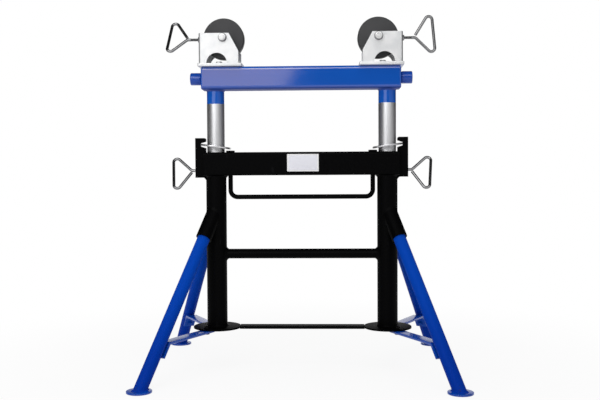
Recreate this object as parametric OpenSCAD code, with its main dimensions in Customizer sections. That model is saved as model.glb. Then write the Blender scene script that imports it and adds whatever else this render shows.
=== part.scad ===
// Pipe roller support: a two-column stand with four splayed legs and a sliding head.
// The head carries two rollers. Tilted friction plates hold the head at any height,
// a lift handle frees them, clamp screws fix the tubes and brake screws stop the rollers.
// Millimetres. X runs from left to right, Y from front to back, Z up.
// The origin is on the floor, midway between the columns.

/* [Columns] */
// Distance between the axes of the two columns
post_spacing = 592.6; // [520:0.2:700]
// Outside diameter of the sliding tubes
tube_d = 60.3; // [55:0.1:66]
// Wall of the sliding tubes
tube_wall = 4; // [2.5:0.5:8]
// Length of the sliding tubes
tube_l = 650; // [500:10:700]
// Wall of the fixed posts
post_wall = 4.5; // [3:0.5:8]
// Running gap between a sliding tube and its post, on the radius
slide_gap = 0.35; // [0.3:0.05:0.8]

/* [Crossmember and rails] */
// Height of the crossmember's top above the floor
cross_top = 744; // [700:1:800]
// Height of the crossmember's box section
cross_h = 80; // [70:1:100]
// Depth of the crossmember's box section
cross_w = 80; // [78:1:100]
// Wall of the crossmember
cross_wall = 4; // [3:0.5:6]
// Corner radius of the box sections
box_r = 8; // [6:0.5:12]
// Height of the middle rail's axis above the floor
rail_z = 392; // [300:1:420]
// Outside diameter of the middle rail
rail_d = 33.7; // [21.3:0.1:48.3]
// Wall of the middle rail
rail_wall = 3.2; // [2:0.1:5]
// Width of the flat tie bar between the base discs
tie_w = 40; // [25:1:60]
// Thickness of the flat tie bar
tie_t = 10; // [6:1:14]

/* [Base discs] */
// Height of the disc's upper face above the floor
disc_top = 140; // [110:1:170]
// Diameter of the base discs
disc_d = 165; // [155:1:200]
// Thickness of the base discs
disc_t = 6; // [5:0.5:12]

/* [Legs] */
// Height at which a leg's axis meets its post's axis
leg_meet_z = 552; // [500:1:600]
// Floor distance from a post's axis to a foot's centre
leg_reach = 415; // [360:1:460]
// Angle in plan between a leg and the outward X direction
leg_azimuth = 62; // [60:0.5:80]
// Outside diameter of the legs
leg_d = 42.4; // [38:0.1:44]
// Wall of the legs
leg_wall = 3.2; // [2:0.1:5]
// Depth to which a leg enters its socket
leg_inset = 36; // [20:1:36]
// Gap between a leg and its socket, on the radius
socket_gap = 0.4; // [0.3:0.05:0.8]
// Wall of the leg sockets
socket_wall = 5.6; // [4:0.1:8.4]
// Distance along the leg's axis from the post's axis to the socket's mouth
socket_reach = 127; // [125:1:160]
// Diameter of the feet
foot_d = 80; // [70:1:110]
// Thickness of the feet
foot_t = 6; // [4:0.5:12]

/* [Braces] */
// Width of the flat braces
brace_w = 40; // [30:1:45]
// Thickness of the flat braces
brace_t = 8; // [5:0.5:10]
// Inside radius of the bend at a brace's outer end
brace_bend_r = 6; // [3:0.5:12]
// Length of the tab that lies along the leg
brace_tab_l = 52; // [45:1:70]
// Distance from the post's axis to a brace's inner bolt
brace_bolt_reach = 62; // [60:1:66]
// Distance from a brace's bolt centre to the end of the flat
brace_edge = 18; // [14:0.5:20]
// Thread diameter of the brace bolts
brace_bolt_d = 10; // [8:1:12]
// Gap between a bolt and its hole, on the radius
bolt_gap = 0.25; // [0.1:0.05:0.5]

/* [Lock and release] */
// Thickness of the friction plates
lock_t = 6; // [5:0.5:8]
// Length of a friction plate
lock_l = 103.5; // [100:0.5:108]
// Diameter of a friction plate's round outline
lock_d = 108; // [107:0.5:114]
// Tilt of a friction plate when it grips its tube
lock_tilt = 7.7; // [6:0.1:8]
// Height of the plate's pivot above the crossmember
lock_rise = 27; // [26:0.5:32]
// Gap at the gripping edges of the plate's hole
grip_gap = 0.3; // [0.2:0.05:0.6]
// Distance from the column's axis to the plate's pivot
lock_pivot_reach = 49.7; // [48:0.1:52]
// Diameter of the release handle's bar
release_d = 16; // [12:0.5:20]
// Height of the release handle's grip bar above the floor
release_z = 589.5; // [560:0.5:620]
// Bend radius of the release handle, on its centreline
release_bend_r = 24; // [18:1:40]
// Gap between the release handle and its guide holes, on the radius
release_gap = 0.4; // [0.3:0.05:0.8]
// Diameter of the lift collars
collar_d = 30; // [26:1:36]
// Thickness of the lift collars
collar_t = 6; // [4:0.5:8]
// Gap under the lift collars at rest
collar_gap = 0.3; // [0.2:0.05:0.5]

/* [Hook brackets] */
// Thickness of the hook brackets, from front to back
hook_t = 25; // [20:1:40]
// Distance from a column's axis to the outer face of its hook bracket
hook_reach = 66; // [65:0.1:72]
// How far the crossmember's ends reach into the hook brackets
hook_lap = 4.5; // [4:0.5:8]
// Distance that a hook bracket hangs below the crossmember
hook_drop = 7; // [2:0.5:15]
// Height of a hook bracket above the crossmember
hook_rise = 50; // [46:0.5:60]
// Height of the notch at its closed end
notch_h = 11; // [10:0.5:12]
// Height of the notch at its mouth
notch_mouth_h = 24; // [20:0.5:28]
// Radius of the hook brackets' corners next to the column
hook_corner_r = 5; // [2:0.5:8]
// Room past the friction plate's end in the notch
notch_gap = 0.6; // [0.6:0.1:2]
// Outside bend radius of the folded brackets
fold_r = 9; // [8:0.5:12]

/* [Head beam] */
// Height of the beam's underside above the crossmember
beam_lift = 215; // [180:1:300]
// Height of the beam
beam_h = 78; // [70:1:90]
// Depth of the beam
beam_w = 80; // [76:1:90]
// Length of the beam over its end caps
beam_l = 684; // [670:1:760]
// Wall of the beam
beam_wall = 5; // [3:0.5:8]
// Thickness of the beam's end caps
cap_t = 6; // [4:0.5:10]
// Diameter of the end stubs
stub_d = 42.4; // [30:0.1:50]
// Length of the end stubs
stub_l = 40; // [30:1:60]
// Chamfer at the free end of a stub
stub_chamfer = 2; // [1:0.5:4]

/* [Rollers] */
// Distance between the two roller axles
roller_spacing = 530; // [510:1:600]
// Diameter of the rollers
roller_d = 140; // [130:1:150]
// Width of the rollers
roller_w = 40; // [30:1:60]
// Edge rounding of the rollers
roller_edge = 3; // [1:0.5:6]
// Diameter of the axle bolts
axle_d = 16; // [12:1:20]
// Running gap between an axle and its bush, on the radius
axle_gap = 0.06; // [0.03:0.01:0.1]
// Wall of the roller bushes
bush_wall = 4; // [3:0.5:6]
// How far a bush stands proud of each roller face
bush_proud = 1; // [0.5:0.25:2]
// Gap between a bush and its spacers
spacer_gap = 0.3; // [0.2:0.05:0.6]

/* [Roller brackets] */
// Plate thickness of the folded roller brackets
bracket_t = 6; // [4:0.5:8]
// Height of the folded roller brackets
bracket_h = 102; // [98:0.5:110]
// Height of the axle above the bracket's base plate
axle_rise = 86.6; // [82:0.1:88]
// Room between a roller's face and the bracket's side
bracket_side_room = 24; // [10:0.5:30]
// Room between a roller's tread and the bracket's end wall
bracket_end_room = 6; // [5.5:0.1:8]
// Distance from the axle to the bracket's open end
bracket_open_reach = 54; // [48:0.5:60]
// Distance from the axle to the top of the sloped corner
slope_top_reach = 21; // [16:0.5:30]
// Height of the sloped corner's lower end above the base plate
slope_low_z = 41; // [38:0.5:55]
// Radius of the arch cut into the bracket's sides
arch_r = 35; // [25:0.5:38]
// Distance from the axle to the arch's centre, towards the end wall
arch_offset = 20.5; // [15:0.5:24]
// Thickness of the bracket's base plate
base_t = 10; // [6:0.5:12]
// How far the base plate stands out past the folded bracket
base_margin = 4; // [2:0.5:8]
// How far the base plate stands out at the open end
base_open_margin = 11; // [4:0.5:20]
// Thread diameter of the bracket bolts
fix_bolt_d = 12; // [8:1:12]
// Distance between the two bolts of a bracket
fix_spacing = 50; // [30:1:56]
// Distance from the axle to the bolts, towards the end wall
fix_offset = 15; // [5:0.5:25]

/* [Screws] */
// Diameter of the screw rod
screw_d = 10; // [8:0.5:12]
// Gap between a screw and its nut, on the radius
screw_gap = 0.3; // [0.25:0.05:0.5]
// Distance from a brake nut's face to the handle's junction
screw_free = 38; // [25:1:60]
// Distance from a hook bracket's face to the handle's junction
clamp_free = 19; // [16:1:30]
// Where the sides of the triangular handle would meet beyond its bends, along the screw and
// across it: the corner into which the stem bends, and the other one
eye_near_depth = 70; // [62:1:76]
eye_near = 68; // [60:1:72]
eye_far_depth = 54; // [50:1:62]
eye_far = 96; // [88:1:100]
// Angles at which the handles stand as drawn, turned about their screws
left_brake_angle = -30; // [-45:1:45]
right_brake_angle = 0; // [-45:1:45]
left_clamp_angle = -32; // [-45:1:45]
right_clamp_angle = -30; // [-45:1:45]
// Bend radius of the handle, on its centreline
eye_r = 12; // [9:0.5:15]
// Thickness of the brake screws' nuts
nut_t = 8; // [6:0.5:10]
// Width of the brake screws' nuts across their flats
nut_af = 18; // [16:0.5:20]
// Height of the clamp screws below the crossmember's top
clamp_drop = 62.5; // [50:0.5:66]
// Diameter of the pressure pads
pad_d = 14; // [12:0.5:15]
// Thickness of the brake pads
brake_pad_t = 3; // [2:0.25:3.5]
// Gap between a brake pad and the tread as drawn
brake_gap = 1.5; // [1.2:0.1:2]
// Thickness of the clamp pads
clamp_pad_t = 4; // [3:0.5:6]
// Gap between a clamp pad and its tube as drawn
clamp_gap = 0.8; // [0.7:0.05:1.5]
// Gap between a screw's tip and its pad
tip_gap = 0.3; // [0.2:0.05:0.5]

/* [Hidden] */
$fn = 64;
// Room left between welded pieces whose curved faces meet
weld_gap = 0.2;
// Overshoot of a cutting tool past the face that it cuts
cut = 2;
// How much a rod swells in its bends, on the radius, and how far a straight run enters a bend
bend_swell = 0.02;
bend_lap = 0.1;

// Columns
post_x = post_spacing / 2;
post_bore = tube_d + 2 * slide_gap;
post_d = post_bore + 2 * post_wall;
cross_z = cross_top - cross_h / 2;
disc_bottom = disc_top - disc_t;

// Legs, in a frame on the post's axis whose X points along the leg in plan
leg_tilt = atan2(leg_reach, leg_meet_z);
leg_bore = leg_d - 2 * leg_wall;
leg_start = socket_reach - leg_inset;
socket_bore = leg_d + 2 * socket_gap;
socket_d = socket_bore + 2 * socket_wall;

// Braces, in the same frame
brace_z = disc_bottom - brace_t / 2;
brace_off = leg_d / 2 + weld_gap + brace_t / 2;
brace_bend_s = (leg_meet_z - brace_z - brace_off * sin(leg_tilt)) / cos(leg_tilt);
brace_bend_x = brace_bend_s * sin(leg_tilt) - brace_off * cos(leg_tilt);
brace_start = brace_bolt_reach - brace_edge;
tab_bolt_s = brace_bend_s + brace_tab_l - brace_edge;

// Lock plates and hook brackets
lock_pivot_x = post_x + lock_pivot_reach;
lock_pivot_z = cross_top + lock_rise;
lock_end = lock_t / 2;
lock_hole_d = (tube_d + 2 * grip_gap + lock_t * sin(lock_tilt)) / cos(lock_tilt);
lock_hole_u = lock_pivot_reach / cos(lock_tilt);
release_x = lock_pivot_x - (lock_l - lock_end) * cos(lock_tilt);
hook_out = post_x + hook_reach;
hook_in = post_x + post_d / 2 + weld_gap;
notch_end = lock_pivot_x + lock_end + notch_gap;
cross_half = hook_in + hook_lap;
clamp_z = cross_top - clamp_drop;

// Head
beam_bottom = cross_top + beam_lift;
beam_top = beam_bottom + beam_h;
beam_z = beam_bottom + beam_h / 2;
beam_half = beam_l / 2;
base_top = beam_top + base_t;
roller_x = roller_spacing / 2;
axle_z = base_top + axle_rise;
bush_d = axle_d + 2 * axle_gap + 2 * bush_wall;
bush_l = roller_w + 2 * bush_proud;
bracket_half = roller_w / 2 + bracket_side_room + bracket_t;
bracket_in = roller_x - bracket_open_reach;
bracket_out = roller_x + roller_d / 2 + bracket_end_room + bracket_t;

// Screws: the places of their pads, nuts and junctions along X
brake_pad_x = roller_x + roller_d / 2 + brake_gap;
brake_tip_x = brake_pad_x + brake_pad_t + tip_gap;
brake_eye_x = bracket_out + nut_t + screw_free;
clamp_pad_x = post_x + tube_d / 2 + clamp_gap;
clamp_tip_x = clamp_pad_x + clamp_pad_t + tip_gap;
clamp_eye_x = hook_out + clamp_free;
screw_hole_d = screw_d + 2 * screw_gap;

// Hexagon sizes as shares of the thread, as standard bolts and nuts have them
function hex_af(d) = 1.5 * d;
function head_h(d) = 0.64 * d;
function hex_nut_h(d) = 0.8 * d;

black = "#101012";
blue = "#0a46ae";
zinc = "#d6d8da";
chrome = "#c4c7ca";
roller_grey = "#47484a";
bronze = "#a9854c";
bolt_steel = "#b9bcc0";

sides = [-1, 1];

// Every left or right piece is drawn once, on the right, and mirrored for the left.
module on_side(side_x) {
    mirror([side_x < 0 ? 1 : 0, 0, 0]) children();
}

// The frame of one leg: on its post's axis, with X along the leg in plan.
module on_leg(side_x, side_y) {
    on_side(side_x)
        mirror([0, side_y < 0 ? 1 : 0, 0])
            translate([post_x, 0, 0]) rotate([0, 0, leg_azimuth]) children();
}

// Down the leg's own axis: Z runs to the foot, X to the leg's under side.
module along_leg() {
    translate([0, 0, leg_meet_z]) rotate([0, 180 - leg_tilt, 0]) children();
}

// A round bar, or a cutting tool, along X from x to x + l.
module bar_x(x, d, l) {
    translate([x, 0, 0]) rotate([0, 90, 0]) cylinder(d = d, h = l);
}

// A round bar, or a cutting tool, along Y from y to y + l.
module bar_y(y, d, l) {
    translate([0, y + l, 0]) rotate([90, 0, 0]) cylinder(d = d, h = l);
}

module pipe(d, bore, l) {
    difference() {
        cylinder(d = d, h = l);
        translate([0, 0, -cut]) cylinder(d = bore, h = l + 2 * cut);
    }
}

module rounded_rect(w, h, r) {
    square([w - 2 * r, h], center = true);
    square([w, h - 2 * r], center = true);
    for (x = sides, y = sides) translate([x * (w / 2 - r), y * (h / 2 - r)]) circle(r);
}

// A box section of length l, centred, along X.
module box_section(w, h, wall, r, l) {
    rotate([90, 0, 90]) linear_extrude(l, center = true) difference() {
        rounded_rect(w, h, r);
        rounded_rect(w - 2 * wall, h - 2 * wall, r - wall);
    }
}

// The plan of a folded plate: flat at x_in, rounded at its two corners at x_out.
module fold_plan(x_in, x_out, half, r) {
    translate([x_in, -half]) square([x_out - r - x_in, 2 * half]);
    translate([x_in, r - half]) square([x_out - x_in, 2 * (half - r)]);
    for (y = sides) translate([x_out - r, y * (half - r)]) circle(r);
}

module folded_channel(x_in, x_out, half, t, r, h) {
    linear_extrude(h) difference() {
        fold_plan(x_in, x_out, half, r);
        fold_plan(x_in - cut, x_out - t, half - t, r - t);
    }
}

module hexagon(af, h) {
    cylinder(d = af / cos(30), h = h, $fn = 6);
}

// Seated at Z = 0 with its head above and its shank of length l below.
module hex_bolt(d, l) {
    af = hex_af(d);
    intersection() {
        hexagon(af, head_h(d));
        cylinder(d1 = 2 * af, d2 = 0.96 * af, h = head_h(d));
    }
    translate([0, 0, -l]) cylinder(d = d, h = l);
}

module hex_nut(d, bore, h) {
    difference() {
        hexagon(hex_af(d), h);
        translate([0, 0, -cut]) cylinder(d = bore, h = h + 2 * cut);
    }
}

// A round rod bent in the XY plane through the given corners.
function unit(v) = v / norm(v);
function turn(a, b) = atan2(a.x * b.y - a.y * b.x, a * b);
function bend_turn(p, i) = turn(p[i] - p[i - 1], p[i + 1] - p[i]);
function bend_cut(p, i, r) = i == 0 || i == len(p) - 1 ? 0 : r * tan(abs(bend_turn(p, i)) / 2);
function run_from(p, i, r) = p[i] + bend_cut(p, i, r) * unit(p[i + 1] - p[i]);
function run_to(p, i, r) = p[i + 1] - bend_cut(p, i + 1, r) * unit(p[i + 1] - p[i]);

// The bends are a hair thicker than the straight runs, which reach a little into them.
module bent_rod(p, r, d) {
    for (i = [0 : len(p) - 2]) {
        lap_in = i == 0 ? 0 : bend_lap;
        lap_out = i == len(p) - 2 ? 0 : bend_lap;
        from = run_from(p, i, r);
        along = run_to(p, i, r) - from;
        translate([from.x, from.y, 0]) rotate([0, 0, atan2(along.y, along.x)])
            bar_x(-lap_in, d, norm(along) + lap_in + lap_out);
    }
    for (i = [1 : len(p) - 2]) {
        angle = bend_turn(p, i);
        side = sign(angle);
        along = unit(p[i] - p[i - 1]);
        centre = run_to(p, i - 1, r) + side * r * [-along.y, along.x];
        start = atan2(along.y, along.x) - side * 90 + min(angle, 0);
        translate([centre.x, centre.y, 0]) rotate([0, 0, start])
            rotate_extrude(angle = abs(angle)) translate([r, 0]) circle(d = d + 2 * bend_swell);
    }
}

// The frame of the columns

module post_shape() {
    difference() {
        translate([post_x, 0, disc_top]) pipe(post_d, post_bore, cross_top - disc_top);
        translate([0, 0, clamp_z]) bar_x(post_x, pad_d + 2 * release_gap, post_d);
    }
}

// A box section with closed ends. The columns, the release handle and the clamp pads pass through it.
module crossmember_shape() {
    inside = cross_half - cross_wall;
    difference() {
        translate([0, 0, cross_z]) rotate([90, 0, 90]) linear_extrude(2 * cross_half, center = true)
            rounded_rect(cross_w, cross_h, box_r);
        translate([0, 0, cross_z]) rotate([90, 0, 90]) linear_extrude(2 * inside, center = true)
            rounded_rect(cross_w - 2 * cross_wall, cross_h - 2 * cross_wall, box_r - cross_wall);
        for (side = sides) {
            on_side(side) translate([0, 0, clamp_z]) bar_x(post_x, pad_d + 2 * release_gap, post_d);
            translate([side * post_x, 0, cross_z - cross_h])
                cylinder(d = post_d + 2 * weld_gap, h = 2 * cross_h);
            translate([side * release_x, 0, cross_z - cross_h])
                cylinder(d = release_d + 2 * release_gap, h = 2 * cross_h);
        }
    }
}

// The notch opens towards the column and widens at its mouth.
module hook_notch() {
    rotate([90, 0, 0]) linear_extrude(2 * hook_t, center = true) polygon([
        [notch_end, lock_pivot_z - notch_h / 2],
        [notch_end, lock_pivot_z + notch_h / 2],
        [hook_in - cut, lock_pivot_z + notch_mouth_h / 2],
        [hook_in - cut, lock_pivot_z - notch_mouth_h / 2],
    ]);
}

// The corners next to the column are rounded.
module hook_side() {
    low = cross_top - cross_h - hook_drop;
    high = cross_top + hook_rise;
    r = hook_corner_r;
    translate([hook_in + r, low]) square([hook_out - hook_in, high - low]);
    translate([hook_in, low + r]) square([2 * r, high - low - 2 * r]);
    for (z = [low + r, high - r]) translate([hook_in + r, z]) circle(r);
}

// A thick plate that is fitted over the crossmember's end. The clamp screw runs through it.
module hook_bracket_shape() {
    difference() {
        rotate([90, 0, 0]) linear_extrude(hook_t, center = true) hook_side();
        hook_notch();
        translate([0, -hook_t, cross_top - cross_h]) cube([cross_half, 2 * hook_t, cross_h]);
        translate([0, 0, clamp_z]) bar_x(hook_in, screw_hole_d, 2 * (hook_out - hook_in));
    }
}

module weld_nut(x, z) {
    translate([x, 0, z]) rotate([0, 90, 0]) difference() {
        hexagon(nut_af, nut_t);
        translate([0, 0, -cut]) cylinder(d = screw_hole_d, h = nut_t + 2 * cut);
    }
}

module mid_rail_shape() {
    difference() {
        translate([-post_x, 0, rail_z]) rotate([0, 90, 0]) pipe(rail_d, rail_d - 2 * rail_wall, post_spacing);
        for (side = sides) translate([side * post_x, 0, rail_z - rail_d])
            cylinder(d = post_d + 2 * weld_gap, h = 2 * rail_d);
    }
}

module tie_bar_shape() {
    difference() {
        translate([0, 0, disc_top - disc_t / 2]) cube([post_spacing, tie_w, tie_t], center = true);
        for (side = sides) translate([side * post_x, 0, disc_bottom - tie_t])
            cylinder(d = disc_d + 2 * weld_gap, h = 2 * tie_t + disc_t);
    }
}

module base_disc_shape() {
    difference() {
        translate([post_x, 0, disc_bottom]) cylinder(d = disc_d, h = disc_t);
        for (side = sides) on_leg(1, side) translate([brace_bolt_reach, 0, disc_bottom - cut])
            cylinder(d = brace_bolt_d + 2 * bolt_gap, h = disc_t + 2 * cut);
    }
}

// Legs, in the leg's frame

module socket_shape() {
    difference() {
        along_leg() translate([0, 0, post_d / 4]) pipe(socket_d, socket_bore, socket_reach - post_d / 4);
        cylinder(d = post_d + 2 * weld_gap, h = 2 * leg_meet_z);
    }
}

module leg_bolt_hole(d) {
    along_leg() translate([0, 0, tab_bolt_s]) bar_x(0, d, leg_d + brace_t);
}

module leg_shape() {
    difference() {
        along_leg() translate([0, 0, leg_start]) pipe(leg_d, leg_bore, 2 * leg_meet_z);
        translate([0, -leg_meet_z, foot_t - 2 * leg_meet_z])
            cube([4 * leg_meet_z, 2 * leg_meet_z, 2 * leg_meet_z]);
        leg_bolt_hole(brace_bolt_d + 2 * bolt_gap);
    }
}

module foot_shape() {
    translate([leg_reach, 0, 0]) cylinder(d = foot_d, h = foot_t);
}

// The side view of a brace: a flat under the disc, a bend, and a tab along the leg.
function brace_arc(r) = let (
    mid_r = brace_bend_r + brace_t / 2,
    bend = 90 - leg_tilt,
    centre = [brace_bend_x - mid_r * tan(bend / 2), brace_z - mid_r]
) [for (i = [0 : 8]) let (a = 90 - bend * i / 8) centre + r * [cos(a), sin(a)]];

module brace_outline() {
    down = [sin(leg_tilt), -cos(leg_tilt)];
    out = [cos(leg_tilt), sin(leg_tilt)];
    tip = [brace_bend_x, brace_z] + brace_tab_l * down;
    inner_arc = brace_arc(brace_bend_r);
    polygon(concat(
        [[brace_start, brace_z - brace_t / 2], [brace_start, brace_z + brace_t / 2]],
        brace_arc(brace_bend_r + brace_t),
        [tip + out * brace_t / 2, tip - out * brace_t / 2],
        [for (i = [len(inner_arc) - 1 : -1 : 0]) inner_arc[i]]
    ));
}

module brace_shape() {
    difference() {
        rotate([90, 0, 0]) linear_extrude(brace_w, center = true) brace_outline();
        translate([brace_bolt_reach, 0, brace_z - brace_t])
            cylinder(d = brace_bolt_d + 2 * bolt_gap, h = 2 * brace_t);
        leg_bolt_hole(brace_bolt_d + 2 * bolt_gap);
    }
}

// The inner bolt points up through brace and disc, the outer one into the leg.
module brace_bolt_pair() {
    inner_l = brace_t + disc_t + hex_nut_h(brace_bolt_d) + cut;
    outer_l = brace_t + leg_wall + 3 * cut;
    translate([brace_bolt_reach, 0, disc_bottom - brace_t]) rotate([180, 0, 0]) hex_bolt(brace_bolt_d, inner_l);
    along_leg() translate([brace_off + brace_t / 2, 0, tab_bolt_s]) rotate([0, 90, 0])
        hex_bolt(brace_bolt_d, outer_l);
}

module brace_nut() {
    translate([brace_bolt_reach, 0, disc_top])
        hex_nut(brace_bolt_d, brace_bolt_d + 2 * bolt_gap, hex_nut_h(brace_bolt_d));
}

// Lock and release

// A round plate that hangs in the notch at its outer end and slopes down past the tube.
// It is trimmed at both ends, and it rocks on its half-round outer end, whose centre is the pivot.
module lock_plate_shape() {
    translate([lock_pivot_x, 0, lock_pivot_z]) rotate([0, -lock_tilt, 0]) difference() {
        intersection() {
            rotate([90, 0, 0]) linear_extrude(lock_d, center = true) {
                translate([lock_end - lock_l, -lock_t / 2]) square([lock_l - lock_end, lock_t]);
                circle(lock_end);
            }
            translate([-lock_hole_u, 0, -lock_t]) cylinder(d = lock_d, h = 2 * lock_t);
        }
        translate([-lock_hole_u, 0, -lock_t]) cylinder(d = lock_hole_d, h = 2 * lock_t);
    }
}

release_top = cross_top + collar_gap + collar_t;

module release_handle_shape() {
    rotate([90, 0, 0]) bent_rod([
        [-release_x, release_top], [-release_x, release_z], [release_x, release_z], [release_x, release_top],
    ], release_bend_r, release_d);
}

module release_collar() {
    translate([release_x, 0, cross_top + collar_gap]) pipe(collar_d, release_d + weld_gap, collar_t);
}

// The head

module inner_tube_shape() {
    translate([post_x, 0, beam_bottom - tube_l]) pipe(tube_d, tube_d - 2 * tube_wall, tube_l);
}

module on_fix_bolts() {
    for (y = sides) translate([roller_x + fix_offset, y * fix_spacing / 2, base_top]) children();
}

module beam_shape() {
    difference() {
        translate([0, 0, beam_z]) box_section(beam_w, beam_h, beam_wall, box_r, beam_l - 2 * cap_t);
        for (side = sides) on_side(side) on_fix_bolts()
            translate([0, 0, -2 * base_t]) cylinder(d = fix_bolt_d + 2 * bolt_gap, h = 2 * base_t);
    }
}

module end_cap() {
    translate([beam_half - cap_t, 0, beam_z]) rotate([90, 0, 90]) linear_extrude(cap_t)
        rounded_rect(beam_w, beam_h, box_r);
}

module end_stub_shape() {
    translate([beam_half, 0, beam_z]) rotate([0, 90, 0]) {
        cylinder(d = stub_d, h = stub_l - stub_chamfer);
        translate([0, 0, stub_l - stub_chamfer])
            cylinder(d1 = stub_d, d2 = stub_d - 2 * stub_chamfer, h = stub_chamfer);
    }
}

module bracket_base_shape() {
    difference() {
        translate([bracket_in - base_open_margin, -bracket_half - base_margin, beam_top])
            cube([bracket_out + base_margin - bracket_in + base_open_margin, 2 * (bracket_half + base_margin), base_t]);
        on_fix_bolts() translate([0, 0, -base_t - cut]) cylinder(d = fix_bolt_d + 2 * bolt_gap, h = base_t + 2 * cut);
    }
}

// The sloped corner and the arch are cut through both sides of the bracket.
module bracket_side_cuts() {
    translate([0, 0, base_top]) {
        rotate([90, 0, 0]) linear_extrude(4 * bracket_half, center = true) polygon([
            [bracket_in - cut, slope_low_z],
            [bracket_in, slope_low_z],
            [roller_x - slope_top_reach, bracket_h],
            [roller_x - slope_top_reach, bracket_h + cut],
            [bracket_in - cut, bracket_h + cut],
        ]);
        translate([roller_x + arch_offset, 0, 0]) bar_y(-2 * bracket_half, 2 * arch_r, 4 * bracket_half);
        translate([roller_x, 0, axle_rise]) bar_y(-2 * bracket_half, axle_d + 2 * bolt_gap, 4 * bracket_half);
        translate([0, 0, axle_rise]) bar_x(bracket_out - bracket_t - cut, screw_hole_d, bracket_t + 2 * cut);
    }
}

module roller_bracket_shape() {
    difference() {
        translate([0, 0, base_top])
            folded_channel(bracket_in, bracket_out, bracket_half, bracket_t, fold_r, bracket_h);
        bracket_side_cuts();
    }
}

module axle_bolt_shape() {
    l = 2 * bracket_half + hex_nut_h(axle_d) + cut;
    translate([roller_x, bracket_half, axle_z]) rotate([-90, 0, 0]) hex_bolt(axle_d, l);
}

module axle_nut() {
    translate([roller_x, -bracket_half, axle_z]) rotate([90, 0, 0])
        hex_nut(axle_d, axle_d + 2 * axle_gap, hex_nut_h(axle_d));
}

module axle_spacer(side_y) {
    l = bracket_side_room - bush_proud - spacer_gap;
    y = bracket_half - bracket_t - l;
    mirror([0, side_y < 0 ? 1 : 0, 0]) translate([roller_x, y, axle_z]) rotate([-90, 0, 0])
        pipe(bush_d, axle_d + 2 * axle_gap, l);
}

// A roller is turned from one piece, with its rim edges rounded.
module roller_shape() {
    rim = roller_d / 2 - roller_edge;
    half = roller_w / 2 - roller_edge;
    translate([roller_x, 0, axle_z]) rotate([90, 0, 0]) rotate_extrude() difference() {
        union() {
            translate([0, -roller_w / 2]) square([rim, roller_w]);
            translate([0, -half]) square([roller_d / 2, 2 * half]);
            for (y = sides) translate([rim, y * half]) circle(roller_edge);
        }
        translate([0, -roller_w]) square([bush_d / 2 + axle_gap, 2 * roller_w]);
    }
}

module roller_bush_shape() {
    translate([roller_x, bush_l / 2, axle_z]) rotate([90, 0, 0]) pipe(bush_d, axle_d + 2 * axle_gap, bush_l);
}

// Screws: the stem runs from its tip to the junction and bends into one leg of the
// triangular eye. The last leg comes back to the stem and its end face stops just short of it.
module eye_screw(tip_x, eye_x, z, up, angle) {
    back = unit([-eye_far_depth - screw_d / 2, eye_far]);
    stop = screw_d / 2 * (1 + abs(back.x)) + weld_gap;
    end = [eye_x - screw_d / 2, 0] - back * stop / back.y;
    translate([0, 0, z]) rotate([angle, 0, 0]) mirror([0, 0, up < 0 ? 1 : 0]) rotate([90, 0, 0]) bent_rod([
        [tip_x, 0], [eye_x, 0],
        [eye_x + eye_near_depth, eye_near],
        [eye_x + eye_far_depth, -eye_far],
        end,
    ], eye_r, screw_d);
}

module brake_screw_shape(angle) { eye_screw(brake_tip_x, brake_eye_x, axle_z, -1, angle); }
module clamp_screw_shape(angle) { eye_screw(clamp_tip_x, clamp_eye_x, clamp_z, 1, angle); }
module brake_pad_shape() { translate([0, 0, axle_z]) bar_x(brake_pad_x, pad_d, brake_pad_t); }
module clamp_pad_shape() { translate([0, 0, clamp_z]) bar_x(clamp_pad_x, pad_d, clamp_pad_t); }

// One module for each piece

module left_post() { color(black) on_side(-1) post_shape(); }
module right_post() { color(black) post_shape(); }
module crossmember() { color(black) crossmember_shape(); }
module left_hook_bracket() { color(black) on_side(-1) hook_bracket_shape(); }
module right_hook_bracket() { color(black) hook_bracket_shape(); }
module mid_rail() { color(black) mid_rail_shape(); }
module tie_bar() { color(black) tie_bar_shape(); }
module left_base_disc() { color(black) on_side(-1) base_disc_shape(); }
module right_base_disc() { color(black) base_disc_shape(); }
module leg_socket(side_x, side_y) { color(black) on_leg(side_x, side_y) socket_shape(); }
module leg(side_x, side_y) { color(blue) on_leg(side_x, side_y) leg_shape(); }
module foot(side_x, side_y) { color(blue) on_leg(side_x, side_y) foot_shape(); }
module brace(side_x, side_y) { color(blue) on_leg(side_x, side_y) brace_shape(); }
module brace_bolts() { color(bolt_steel) for (x = sides, y = sides) on_leg(x, y) brace_bolt_pair(); }
module brace_nuts() { color(bolt_steel) for (x = sides, y = sides) on_leg(x, y) brace_nut(); }
module release_handle() { color(black) release_handle_shape(); }
module release_collars() { color(black) for (side = sides) on_side(side) release_collar(); }
module left_lock_plate() { color(zinc) on_side(-1) lock_plate_shape(); }
module right_lock_plate() { color(zinc) lock_plate_shape(); }
module left_inner_tube() { color(chrome) on_side(-1) inner_tube_shape(); }
module right_inner_tube() { color(chrome) inner_tube_shape(); }
module beam() { color(blue) beam_shape(); }
module beam_end_caps() { color(blue) for (side = sides) on_side(side) end_cap(); }
module left_end_stub() { color(blue) on_side(-1) end_stub_shape(); }
module right_end_stub() { color(blue) end_stub_shape(); }
module left_bracket_base() { color(zinc) on_side(-1) bracket_base_shape(); }
module right_bracket_base() { color(zinc) bracket_base_shape(); }
module bracket_bolts() {
    color(bolt_steel) for (side = sides) on_side(side) on_fix_bolts() hex_bolt(fix_bolt_d, base_t + 2 * beam_wall);
}
module left_roller_bracket() { color(zinc) on_side(-1) roller_bracket_shape(); }
module right_roller_bracket() { color(zinc) roller_bracket_shape(); }
module brake_nuts() { color(zinc) for (side = sides) on_side(side) weld_nut(bracket_out, axle_z); }
module left_axle_bolt() { color(zinc) on_side(-1) axle_bolt_shape(); }
module right_axle_bolt() { color(zinc) axle_bolt_shape(); }
module axle_nuts() { color(zinc) for (side = sides) on_side(side) axle_nut(); }
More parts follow.
